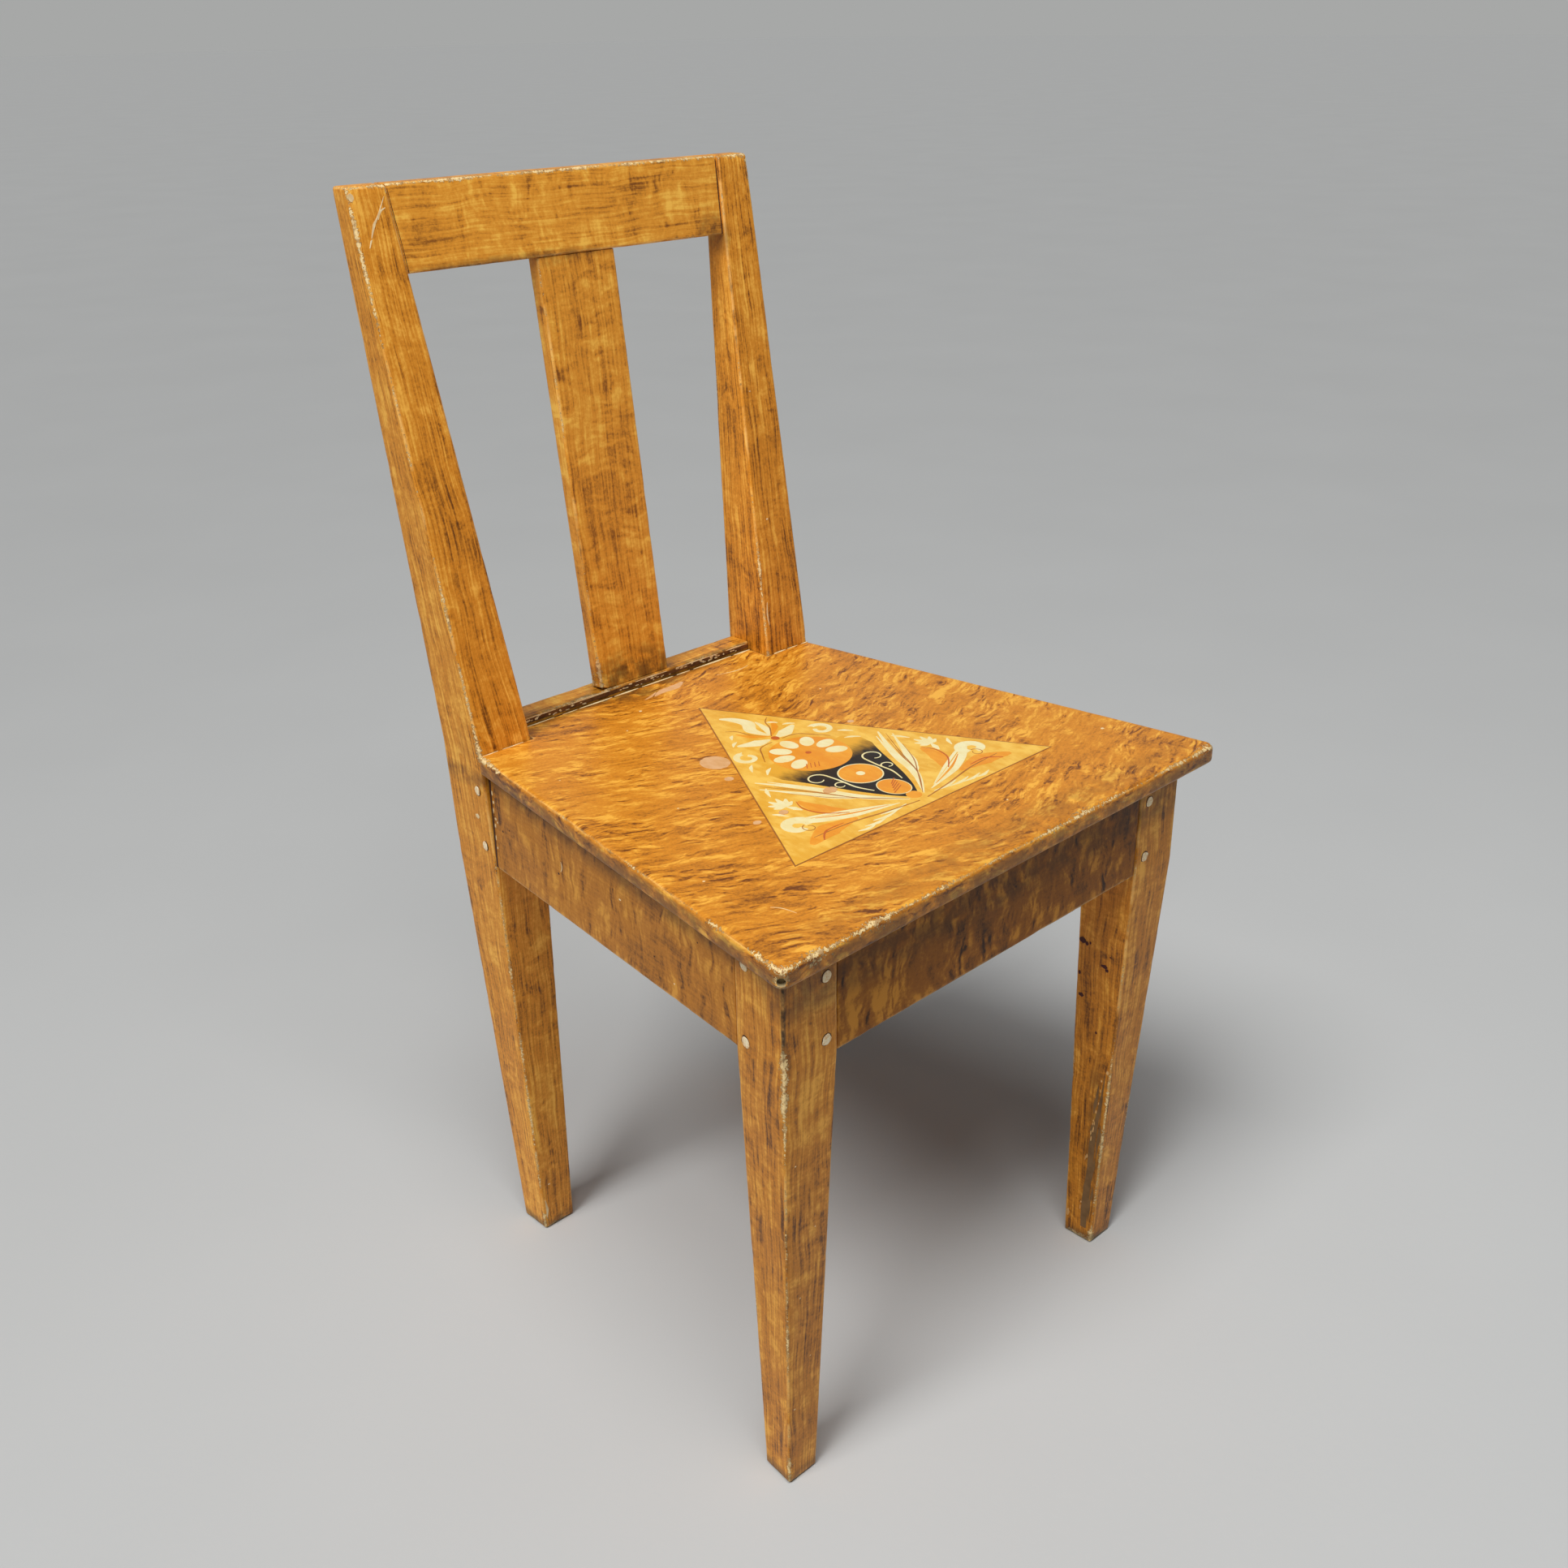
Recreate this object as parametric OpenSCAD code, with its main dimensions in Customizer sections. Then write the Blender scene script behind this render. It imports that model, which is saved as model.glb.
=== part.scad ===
// Painted wooden side chair: two one-piece rear legs that run up as the stiles
// of the back, two tapered front legs, four seat rails with pegged tenons, a
// trapezoid seat board on cleats, a top rail and one upright splat.
// Millimetres. The origin is on the floor under the middle of the chair's box,
// +Z is up, the front faces -Y, and the chair is symmetric about X = 0.
// Pieces of the right-hand side (+X) are drawn, and the left ones mirror them.

/* [Overall] */
// Height of the back above the floor
overall_h = 820; // [700:5:960]
// Height of the seat's top face above the floor
seat_h = 440; // [380:5:520]
// Front faces of the front legs to front faces of the rear legs, at the seat
frame_d = 344; // [280:2:420]
// Width over the front legs
front_frame_w = 401; // [350:1:460]
// Width over the rear legs, at the seat
rear_frame_w = 331; // [290:1:400]
// Width over the stiles, at the top
back_top_w = 353; // [300:1:420]
// How far the front of the back leans from the seat to the top
back_rake = 74; // [30:2:110]

/* [Seat board] */
// Thickness of the board
seat_t = 15; // [12:0.5:22]
// How far the board runs past the front legs' front faces
seat_front_overhang = 18; // [8:1:30]
// How far the board runs past the front legs' outer corners
seat_side_overhang = 18.5; // [8:1:30]
// How far the board runs past the rear legs' outer faces
seat_rear_overhang = 1; // [0:0.5:6]
// How far the tongue between the rear legs runs behind their front faces
seat_tongue = 22; // [16:1:24]
// Radius of the front corners, seen from above
seat_corner_r = 7; // [5:0.5:16]
// Radius of the rounded edges
seat_edge_r = 4; // [1:0.5:5]
// Diameter of the old hole in the left front corner's edge
corner_hole_d = 5.5; // [3:0.5:7]
// Depth of that hole
corner_hole_depth = 5; // [2:0.5:12]

/* [Rear legs and stiles] */
// Width of a rear leg at the seat
rear_leg_w = 46; // [40:1:54]
// Depth of a rear leg at the seat
rear_leg_d = 47; // [42:1:56]
// Width of a stile at the top
stile_top_w = 30.5; // [24:0.5:42]
// Depth of a stile at the top
stile_top_d = 17.5; // [17:0.5:40]
// Width over the rear feet
rear_feet_w = 290; // [250:1:360]
// Width of a rear foot
rear_foot_w = 29.5; // [22:0.5:44]
// Depth of a rear foot
rear_foot_d = 28.5; // [22:0.5:44]
// How far a rear foot's front face stands behind the leg's
rear_foot_set = 3; // [0:0.5:12]

/* [Front legs] */
// Width of a front leg at the seat
front_leg_w = 46; // [40:1:54]
// Depth of a front leg at the seat
front_leg_d = 47; // [42:1:56]
// Width over the front feet
front_feet_w = 376; // [330:1:440]
// Width of a front foot
front_foot_w = 28.5; // [22:0.5:44]
// Depth of a front foot
front_foot_d = 26.5; // [22:0.5:44]
// How far a front foot's front face stands behind the leg's
front_foot_set = 15.5; // [0:0.5:18]
// How far below the rails the front legs' outer faces begin to taper
front_outer_drop = 2; // [1:0.5:20]

/* [Seat rails] */
// Height of the seat rails, from their lower edge to the seat board
rail_h = 76; // [60:1:100]
// Thickness of the front and side rails
rail_t = 20; // [18:0.5:24]
// How far the front and side rails lie behind the legs' outer faces
rail_recess = 1; // [0:0.25:3]
// Thickness of the rear rail
rear_rail_t = 21; // [18:0.5:22]
// How far the rear rail rises above the seat
rear_rail_rise = 6; // [3:0.5:15]
// Gap between the seat's back edge and the rear rail
seat_rail_gap = 1.5; // [0.5:0.25:1.5]

/* [Back] */
// Height of the top rail
top_rail_h = 57; // [44:1:90]
// Thickness of the top rail
top_rail_t = 15; // [14:0.5:16]
// How far the top rail lies behind the stiles' front faces
top_rail_recess = 2; // [0.5:0.25:2.5]
// Width of the splat at its foot
splat_foot_w = 68; // [40:1:110]
// Width of the splat at its head
splat_head_w = 70; // [40:1:110]
// Thickness of the splat
splat_t = 12; // [9:0.5:12]
// How far the splat's foot stands behind the rear rail's front face
splat_foot_set = 2; // [1:0.5:4]
// How far the splat's head stands behind the top rail's front face
splat_head_set = 1.5; // [0.5:0.5:2]

/* [Joints] */
// Thickness of the seat rails' tenons
tenon_t = 10; // [8:0.5:12]
// Length of the front and rear rails' tenons
tenon_l = 27; // [18:1:29]
// Wood left between two tenons that meet in a leg
tenon_web = 4; // [2:0.5:6]
// Shoulder above and below each seat rail's tenon
tenon_shoulder = 4; // [3:0.5:5]
// Thickness of the top rail's and the splat's tenons
thin_tenon_t = 6; // [5:0.5:8]
// Shoulder beside the splat's tenons and below the top rail's
thin_tenon_shoulder = 8; // [6:0.5:12]
// Shoulder above the top rail's tenons
top_tenon_haunch = 16; // [12:1:20]
// Length of the top rail's tenons
top_tenon_l = 18; // [10:1:20]
// Length of the splat's tenons
splat_tenon_l = 14; // [8:1:20]
// Clearance round a tenon in its mortise
tenon_fit = 0.2; // [0.05:0.05:0.5]
// Gap between a rail's shoulder and the leg
shoulder_gap = 0.3; // [0.1:0.1:0.8]
// Diameter of the wooden pegs
peg_d = 8; // [6:0.5:9]
// Length of the wooden pegs
peg_l = 25; // [20:1:28]
// Radial clearance of a peg in its hole
peg_fit = 0.05; // [0.02:0.01:0.2]
// How far a peg's end stands out of the leg
peg_proud = 0.4; // [0:0.1:1]
// Distance from a rail's shoulder to its pegs
peg_inset = 10; // [8:0.5:14]
// Distances of the side rails' front pegs from the rails' lower and upper edges
side_front_peg_in = [9, 13]; // [9:0.5:18]
// Distances of the side rails' rear pegs from the rails' lower and upper edges
side_rear_peg_in = [15.5, 15]; // [9:0.5:18]
// Distances of the front rail's pegs from the rail's lower and upper edges
front_peg_in = [13, 19]; // [9:0.5:22]
// Distances of the rear rail's pegs from the rail's lower and upper edges
rear_peg_in = [14, 14]; // [9:0.5:18]

/* [Cleats and screws] */
// Height and thickness of the cleats under the seat
cleat_s = 18; // [14:1:22]
// Gap between a side cleat's ends and the legs
side_cleat_gap = 8; // [2:1:20]
// Gap between the front or the rear cleat's ends and the legs
cross_cleat_gap = 10; // [2:1:20]
// Distance of the screws into the rail from a cleat's ends
cleat_screw_inset = 45; // [35:1:60]
// Distance of the screws into the seat from a cleat's ends
seat_screw_inset = 20; // [10:1:25]
// Diameter of the screws' shanks
screw_d = 3.5; // [3:0.5:4.5]
// Diameter of the screws' countersunk heads
screw_head_d = 7.5; // [6:0.5:9]
// How far the screws reach into the seat or rail
screw_bite = 10; // [6:1:11]
// Radial clearance of a screw in its hole
screw_fit = 0.1; // [0.05:0.05:0.3]

/* [Hidden] */
$fn = 48;

wood = [0.74, 0.47, 0.17];
wood_dark = [0.60, 0.36, 0.12];
bare_wood = [0.86, 0.78, 0.60];
steel = [0.45, 0.42, 0.38];

// Depths, measured along Y with the chair's box centred on the origin
chair_d = seat_front_overhang + frame_d + back_rake + stile_top_d;
y_seat_front = -chair_d / 2;
y_leg_front = y_seat_front + seat_front_overhang;
y_leg_back = y_leg_front + front_leg_d;
y_stile = y_leg_front + frame_d;
y_seat_back = y_stile + seat_tongue;
y_rear_rail = y_seat_back + seat_rail_gap;

// Heights
rail_top = seat_h - seat_t;
rail_bottom = rail_top - rail_h;
rear_rail_top = seat_h + rear_rail_rise;
top_rail_bottom = overall_h - top_rail_h;

// Half widths
front_half = front_frame_w / 2;
front_inner = front_half - front_leg_w;
rear_half = rear_frame_w / 2;
seat_front_half = front_half + seat_side_overhang;
seat_rear_half = rear_half + seat_rear_overhang;

// The tenons lie in the middle of the rails, and the side rails' ones end short
// of the front and the rear rail's
tenon_in = rail_recess + (rail_t - tenon_t) / 2;
rear_tenon_in = (rear_rail_t - tenon_t) / 2;
tenon_bottom = rail_bottom + tenon_shoulder;
tenon_top = rail_top - tenon_shoulder;
side_tenon_front = y_leg_front + tenon_in + tenon_t + tenon_web;
side_tenon_back = y_rear_rail + rear_tenon_in - tenon_web;

// Room for solids that cut through others, and a small overlap for clean cuts
far = 600;
over = 1;
// Steps of the seat's rounded corners and of its rounded edges
corner_steps = 6;
edge_steps = 5;
// Thickness of the slices that the seat board's hull spans
slice = 0.01;
// How far the seat's outline runs past its back edge before it is cut there
seat_spare = 40;

function between(a, b, t) = a + (b - a) * t;

// Outer and inner half widths of the rear legs at a height
function rear_outer(z) = z > seat_h
    ? between(rear_half, back_top_w / 2, (z - seat_h) / (overall_h - seat_h))
    : between(rear_feet_w / 2, rear_half, z / seat_h);
function rear_width(z) = z > seat_h
    ? between(rear_leg_w, stile_top_w, (z - seat_h) / (overall_h - seat_h))
    : between(rear_foot_w, rear_leg_w, min(1, z / rail_bottom));
function rear_inner(z) = rear_outer(z) - rear_width(z);

// Front face of the stiles at a height above the seat
function stile_y(z) = y_stile + back_rake * (z - seat_h) / (overall_h - seat_h);

// Front face of the splat at a height
splat_foot_y = y_rear_rail + splat_foot_set;
splat_head_y = stile_y(top_rail_bottom) + top_rail_recess + splat_head_set;
function splat_y(z) =
    between(splat_foot_y, splat_head_y, (z - rear_rail_top) / (top_rail_bottom - rear_rail_top));

// The side rails and the front legs' outer faces run along this slanted line
side_angle = atan((front_half - rear_outer(rail_bottom)) / frame_d);

// An outline in Y and Z, extruded along X
module side_profile(points, x0, x1) {
    translate([x0, 0, 0])
        rotate([90, 0, 90])
            linear_extrude(x1 - x0)
                polygon(points);
}

// An outline in X and Z, extruded along Y
module front_profile(points, y0, y1) {
    translate([0, y1, 0])
        rotate([90, 0, 0])
            linear_extrude(y1 - y0)
                polygon(points);
}

// An outline in X and Z that is the same on both sides, given by its right half
module mirrored_profile(points, y0, y1) {
    count = len(points);
    left = [for (i = [count - 1:-1:0]) [-points[i][0], points[i][1]]];
    front_profile(concat(points, left), y0, y1);
}

module box(low, high) {
    translate(low)
        cube(high - low);
}

// The frame of the right side rail: Y runs back along its outer face, X is out
module along_side() {
    translate([front_half, y_leg_front, 0])
        rotate([0, 0, side_angle])
            children();
}

// A straight band of the side rail, from one depth to another below its outer
// face, with its ends cut square to the chair
module side_band(in0, in1, z0, z1, y0, y1) {
    intersection() {
        along_side()
            box([-in1, -far, z0], [-in0, far, z1]);
        box([0, y0, z0 - over], [far, y1, z1 + over]);
    }
}

module mirror_left() {
    mirror([1, 0, 0])
        children();
}

// ---- Seat rails and their tenons ----

module side_tenon(y0, y1, grow) {
    side_band(
        tenon_in - grow, tenon_in + tenon_t + grow,
        tenon_bottom - grow, tenon_top + grow, y0, y1);
}

module side_seat_rail() {
    color(wood)
        difference() {
            union() {
                side_band(
                    rail_recess, rail_recess + rail_t, rail_bottom, rail_top,
                    y_leg_back + shoulder_gap, y_stile - shoulder_gap);
                side_tenon(side_tenon_front, side_tenon_back, 0);
            }
            side_front_pegs(over, peg_fit);
            side_rear_pegs(over, peg_fit);
            side_cleat_screws(screw_fit);
        }
}

module front_tenon(grow) {
    reach = front_inner + tenon_l + grow;
    box([-reach, y_leg_front + tenon_in - grow, tenon_bottom - grow],
        [reach, y_leg_front + tenon_in + tenon_t + grow, tenon_top + grow]);
}

module front_seat_rail() {
    half = front_inner - shoulder_gap;
    color(wood_dark)
        difference() {
            union() {
                box([-half, y_leg_front + rail_recess, rail_bottom],
                    [half, y_leg_front + rail_recess + rail_t, rail_top]);
                front_tenon(0);
            }
            front_pegs(over, peg_fit);
            mirror_left()
                front_pegs(over, peg_fit);
            front_cleat_screws(screw_fit);
        }
}

module rear_tenon(grow) {
    reach = rear_inner(rail_bottom) + tenon_l + grow;
    y0 = y_rear_rail + rear_tenon_in;
    box([-reach, y0 - grow, tenon_bottom - grow],
        [reach, y0 + tenon_t + grow, tenon_top + grow]);
}

module rear_seat_rail() {
    heights = [rail_bottom, seat_h, rear_rail_top];
    ends = [for (z = heights) [rear_inner(z) - shoulder_gap, z]];
    color(wood)
        difference() {
            union() {
                mirrored_profile(ends, y_rear_rail, y_rear_rail + rear_rail_t);
                rear_tenon(0);
            }
            splat_tenon_foot(tenon_fit);
            rear_pegs(over, peg_fit);
            mirror_left()
                rear_pegs(over, peg_fit);
            rear_cleat_screws(screw_fit);
        }
}

// ---- Legs ----

module front_leg() {
    foot_y = y_leg_front + front_foot_set;
    foot_outer = front_feet_w / 2 - front_half;
    foot_inner = front_feet_w / 2 - front_foot_w;
    color(wood_dark)
        difference() {
            intersection() {
                side_profile([
                    [foot_y, 0], [foot_y + front_foot_d, 0],
                    [y_leg_back, rail_bottom], [y_leg_back, rail_top],
                    [y_leg_front, rail_top], [y_leg_front, rail_bottom]
                ], 0, far);
                front_profile([
                    [foot_inner, 0], [far, 0], [far, rail_top],
                    [front_inner, rail_top], [front_inner, rail_bottom]
                ], -far, far);
                along_side()
                    front_profile([
                        [-far, 0], [foot_outer, 0], [0, rail_bottom - front_outer_drop],
                        [0, rail_top], [-far, rail_top]
                    ], -far, far);
            }
            front_tenon(tenon_fit);
            side_tenon(side_tenon_front - tenon_fit, y_leg_back + over, tenon_fit);
            side_front_pegs(over, peg_fit);
            front_pegs(over, peg_fit);
        }
}

module rear_leg() {
    foot_y = y_stile + rear_foot_set;
    heights = [0, rail_bottom, seat_h, overall_h];
    inner = [for (z = heights) [rear_inner(z), z]];
    outer = [for (z = [overall_h, seat_h, 0]) [rear_outer(z), z]];
    color(wood)
        difference() {
            intersection() {
                side_profile([
                    [foot_y, 0], [foot_y + rear_foot_d, 0],
                    [y_stile + rear_leg_d, rail_bottom], [y_stile + rear_leg_d, seat_h],
                    [stile_y(overall_h) + stile_top_d, overall_h], [stile_y(overall_h), overall_h],
                    [y_stile, seat_h], [y_stile, rail_bottom]
                ], 0, far);
                front_profile(concat(inner, outer), -far, far);
            }
            side_tenon(y_stile - over, side_tenon_back + tenon_fit, tenon_fit);
            rear_tenon(tenon_fit);
            top_tenon(tenon_fit);
            side_rear_pegs(over, peg_fit);
            rear_pegs(over, peg_fit);
        }
}

// ---- Back ----

// A slab that leans with the stiles, from one depth behind their front faces
module raked_slab(in0, in1, z0, z1, half) {
    side_profile([
        [stile_y(z0) + in0, z0], [stile_y(z0) + in1, z0],
        [stile_y(z1) + in1, z1], [stile_y(z1) + in0, z1]
    ], -half, half);
}

module top_tenon(grow) {
    mid = top_rail_recess + top_rail_t / 2;
    z0 = top_rail_bottom + thin_tenon_shoulder - grow;
    z1 = overall_h - top_tenon_haunch + grow;
    ends = [for (z = [z0, z1]) [rear_inner(z) + top_tenon_l + grow, z]];
    intersection() {
        raked_slab(mid - thin_tenon_t / 2 - grow, mid + thin_tenon_t / 2 + grow, z0, z1, far);
        mirrored_profile(ends, -far, far);
    }
}

module top_rail() {
    heights = [top_rail_bottom, overall_h];
    ends = [for (z = heights) [rear_inner(z) - shoulder_gap, z]];
    color(wood)
        difference() {
            union() {
                intersection() {
                    raked_slab(
                        top_rail_recess, top_rail_recess + top_rail_t,
                        top_rail_bottom, overall_h, far);
                    mirrored_profile(ends, -far, far);
                }
                top_tenon(0);
            }
            splat_tenon_head(tenon_fit);
        }
}

// A slab that leans with the splat, from one depth behind its front face
module splat_slab(in0, in1, z0, z1, half) {
    side_profile([
        [splat_y(z0) + in0, z0], [splat_y(z0) + in1, z0],
        [splat_y(z1) + in1, z1], [splat_y(z1) + in0, z1]
    ], -half, half);
}

module splat_tenon(z0, z1, width, grow) {
    in0 = (splat_t - thin_tenon_t) / 2;
    splat_slab(
        in0 - grow, in0 + thin_tenon_t + grow, z0, z1,
        width / 2 - thin_tenon_shoulder + grow);
}

module splat_tenon_foot(grow) {
    splat_tenon(rear_rail_top - splat_tenon_l - grow, rear_rail_top + over, splat_foot_w, grow);
}

module splat_tenon_head(grow) {
    splat_tenon(top_rail_bottom - over, top_rail_bottom + splat_tenon_l + grow, splat_head_w, grow);
}

module back_splat() {
    color(wood)
        union() {
            intersection() {
                splat_slab(0, splat_t, rear_rail_top, top_rail_bottom, far);
                mirrored_profile([
                    [splat_foot_w / 2, rear_rail_top], [splat_head_w / 2, top_rail_bottom]
                ], -far, far);
            }
            splat_tenon_foot(0);
            splat_tenon_head(0);
        }
}

// ---- Seat board ----

// One rounded corner of an outline: arc points round a centre
function arc(centre, radius, from, to) =
    [for (i = [0:corner_steps])
        let (a = between(from, to, i / corner_steps))
            centre + radius * [cos(a), sin(a)]];

// The board seen from above, all round smaller by inset, and run past its back
// edge so that only the front and the sides are rounded
module seat_outline(inset) {
    slope = (seat_front_half - seat_rear_half) / (y_stile - y_seat_front);
    turn = atan(slope);
    r = seat_corner_r;
    // The centre of the corner's arc, r in from the front and from the side
    side_at_front = seat_front_half - slope * r;
    centre = [side_at_front - r / cos(turn), y_seat_front + r];
    back_y = y_seat_back + seat_spare;
    back_x = seat_front_half - slope * (back_y - y_seat_front) - inset / cos(turn);
    right = concat(arc(centre, r - inset, -90, turn), [[back_x, back_y]]);
    count = len(right);
    left = [for (i = [count - 1:-1:0]) [-right[i][0], right[i][1]]];
    polygon(concat(right, left));
}

module seat_board() {
    r = seat_edge_r;
    tongue_half = rear_inner(rail_top) - shoulder_gap;
    color(wood)
        difference() {
            hull()
                for (i = [0:edge_steps]) {
                    a = 90 * i / edge_steps;
                    inset = r * (1 - cos(a));
                    drop = r * (1 - sin(a));
                    translate([0, 0, rail_top + drop])
                        linear_extrude(slice)
                            seat_outline(inset);
                    translate([0, 0, seat_h - drop - slice])
                        linear_extrude(slice)
                            seat_outline(inset);
                }
            // Straight back edge, and a notch round each rear leg
            box([-far, y_seat_back, rail_top - over], [far, far, seat_h + over]);
            for (side = [0, 1])
                mirror([side, 0, 0])
                    box([tongue_half, y_stile - shoulder_gap, rail_top - over],
                        [far, far, seat_h + over]);
            corner_hole();
            seat_screw_set(screw_fit);
        }
}

// The old hole in the edge of the left front corner, drilled along its diagonal
module corner_hole() {
    reach = seat_corner_r * (1 - cos(45)) + over;
    translate([-seat_front_half + reach, y_seat_front + reach, seat_h - seat_edge_r - over / 2])
        rotate([90, 0, -45])
            translate([0, 0, -corner_hole_depth])
                cylinder(h = corner_hole_depth + 3 * over, d = corner_hole_d);
}

// ---- Pegs ----

// A round peg with its outer end at a point, running into the leg
module peg(point, turn, proud, grow) {
    translate(point)
        rotate(turn)
            translate([0, 0, -proud])
                cylinder(h = peg_l + proud + grow, d = peg_d + 2 * grow);
}

// The heights of a low and a high peg, by their distances from a rail's edges
function peg_heights(distances) = [rail_bottom + distances[0], rail_top - distances[1]];

module side_front_pegs(proud, grow) {
    y = y_leg_back - peg_inset;
    x = front_half - (y - y_leg_front) * tan(side_angle);
    for (z = peg_heights(side_front_peg_in))
        peg([x, y, z], [0, -90, side_angle], proud, grow);
}

module side_rear_pegs(proud, grow) {
    for (z = peg_heights(side_rear_peg_in))
        peg([rear_outer(z), y_stile + peg_inset, z], [0, -90, side_angle], proud, grow);
}

module front_pegs(proud, grow) {
    for (z = peg_heights(front_peg_in))
        peg([front_inner + peg_inset, y_leg_front, z], [-90, 0, 0], proud, grow);
}

// Pegs of the rear rail's tenon come in from the back of the rear leg
module rear_pegs(proud, grow) {
    for (z = peg_heights(rear_peg_in))
        peg([rear_inner(rail_bottom) + peg_inset, y_stile + rear_leg_d, z], [90, 0, 0], proud, grow);
}

module front_leg_pegs() {
    color(bare_wood) {
        side_front_pegs(peg_proud, 0);
        front_pegs(peg_proud, 0);
    }
}

module rear_leg_pegs() {
    color(bare_wood) {
        side_rear_pegs(peg_proud, 0);
        rear_pegs(peg_proud, 0);
    }
}

// ---- Cleats and screws under the seat ----

side_cleat_half = (y_stile - y_leg_back) / 2 - side_cleat_gap;
side_cleat_y = (y_leg_back + y_stile) / 2;
front_cleat_half = front_inner - cross_cleat_gap;
front_cleat_y = y_leg_front + rail_recess + rail_t;
rear_cleat_half = rear_inner(rail_bottom) - cross_cleat_gap;
cleat_bottom = rail_top - cleat_s;
cleat_mid_z = rail_top - cleat_s / 2;

// A countersunk screw along +Z, with its head's face at the origin
module screw(grow) {
    head_h = (screw_head_d - screw_d) / 2;
    cylinder(h = cleat_s + screw_bite + grow, d = screw_d + 2 * grow);
    translate([0, 0, -grow])
        cylinder(h = head_h + grow, d1 = screw_head_d + 2 * grow, d2 = screw_d + 2 * grow);
}

// Two screws, an equal way to both sides of a cleat's middle
module screw_pair(half, inset, grow) {
    for (side = [-1, 1])
        translate([side * (half - inset), 0, 0])
            screw(grow);
}

// From the frame of a cleat to the chair's: X runs along the cleat, and Z goes
// into the rail, or up into the seat
module side_cleat_frame() {
    mid = (side_cleat_y - y_leg_front) / cos(side_angle);
    along_side()
        translate([-rail_recess - rail_t, mid, rail_top])
            rotate([0, 0, 90])
                children();
}

module front_cleat_frame() {
    translate([0, front_cleat_y, rail_top])
        children();
}

module rear_cleat_frame() {
    translate([0, y_rear_rail, rail_top])
        rotate([0, 0, 180])
            children();
}

// In a cleat's frame the rail's face is at Y = 0 and the seat is at Z = 0
module rail_screws(half, grow) {
    translate([0, cleat_s, -cleat_s / 2])
        rotate([90, 0, 0])
            screw_pair(half, cleat_screw_inset, grow);
}

module seat_screw_row(half, grow) {
    translate([0, cleat_s / 2, -cleat_s])
        screw_pair(half, seat_screw_inset, grow);
}

module side_cleat_screws(grow) {
    side_cleat_frame()
        rail_screws(side_cleat_half, grow);
}

module side_seat_screws(grow) {
    side_cleat_frame()
        seat_screw_row(side_cleat_half, grow);
}

module front_cleat_screws(grow) {
    front_cleat_frame()
        rail_screws(front_cleat_half, grow);
}

module front_seat_screws(grow) {
    front_cleat_frame()
        seat_screw_row(front_cleat_half, grow);
}

module rear_cleat_screws(grow) {
    rear_cleat_frame()
        rail_screws(rear_cleat_half, grow);
}

module rear_seat_screws(grow) {
    rear_cleat_frame()
        seat_screw_row(rear_cleat_half, grow);
}

module seat_screw_set(grow) {
    front_seat_screws(grow);
    rear_seat_screws(grow);
    side_seat_screws(grow);
    mirror_left()
        side_seat_screws(grow);
}

module cleat_screw_set(grow) {
    front_cleat_screws(grow);
    rear_cleat_screws(grow);
    side_cleat_screws(grow);
    mirror_left()
        side_cleat_screws(grow);
}

module side_cleat() {
    color(bare_wood)
        difference() {
            side_band(
                rail_recess + rail_t, rail_recess + rail_t + cleat_s, cleat_bottom, rail_top,
                side_cleat_y - side_cleat_half, side_cleat_y + side_cleat_half);
            side_cleat_screws(screw_fit);
            side_seat_screws(screw_fit);
        }
}

module front_cleat() {
    color(bare_wood)
        difference() {
            box([-front_cleat_half, front_cleat_y, cleat_bottom],
                [front_cleat_half, front_cleat_y + cleat_s, rail_top]);
            front_cleat_screws(screw_fit);
            front_seat_screws(screw_fit);
        }
}

module rear_cleat() {
    color(bare_wood)
        difference() {
            box([-rear_cleat_half, y_rear_rail - cleat_s, cleat_bottom],
                [rear_cleat_half, y_rear_rail, rail_top]);
            rear_cleat_screws(screw_fit);
            rear_seat_screws(screw_fit);
        }
}

module cleat_screws() {
    color(steel)
        cleat_screw_set(0);
}

module seat_screws() {
    color(steel)
        seat_screw_set(0);
}

seat_board();
mirror_left() front_leg();  // front_leg_left
front_leg();  // front_leg_right
mirror_left() rear_leg();  // rear_leg_left
rear_leg();  // rear_leg_right
front_seat_rail();
rear_seat_rail();
mirror_left() side_seat_rail();  // side_seat_rail_left
side_seat_rail();  // side_seat_rail_right
top_rail();
back_splat();
mirror_left() front_leg_pegs();  // front_leg_pegs_left
front_leg_pegs();  // front_leg_pegs_right
mirror_left() rear_leg_pegs();  // rear_leg_pegs_left
rear_leg_pegs();  // rear_leg_pegs_right
front_cleat();
rear_cleat();
mirror_left() side_cleat();  // side_cleat_left
side_cleat();  // side_cleat_right
cleat_screws();
seat_screws();
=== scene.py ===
import math
import random

import bpy
from mathutils import Matrix, Quaternion, Vector, noise
from mathutils.geometry import delaunay_2d_cdt


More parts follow.
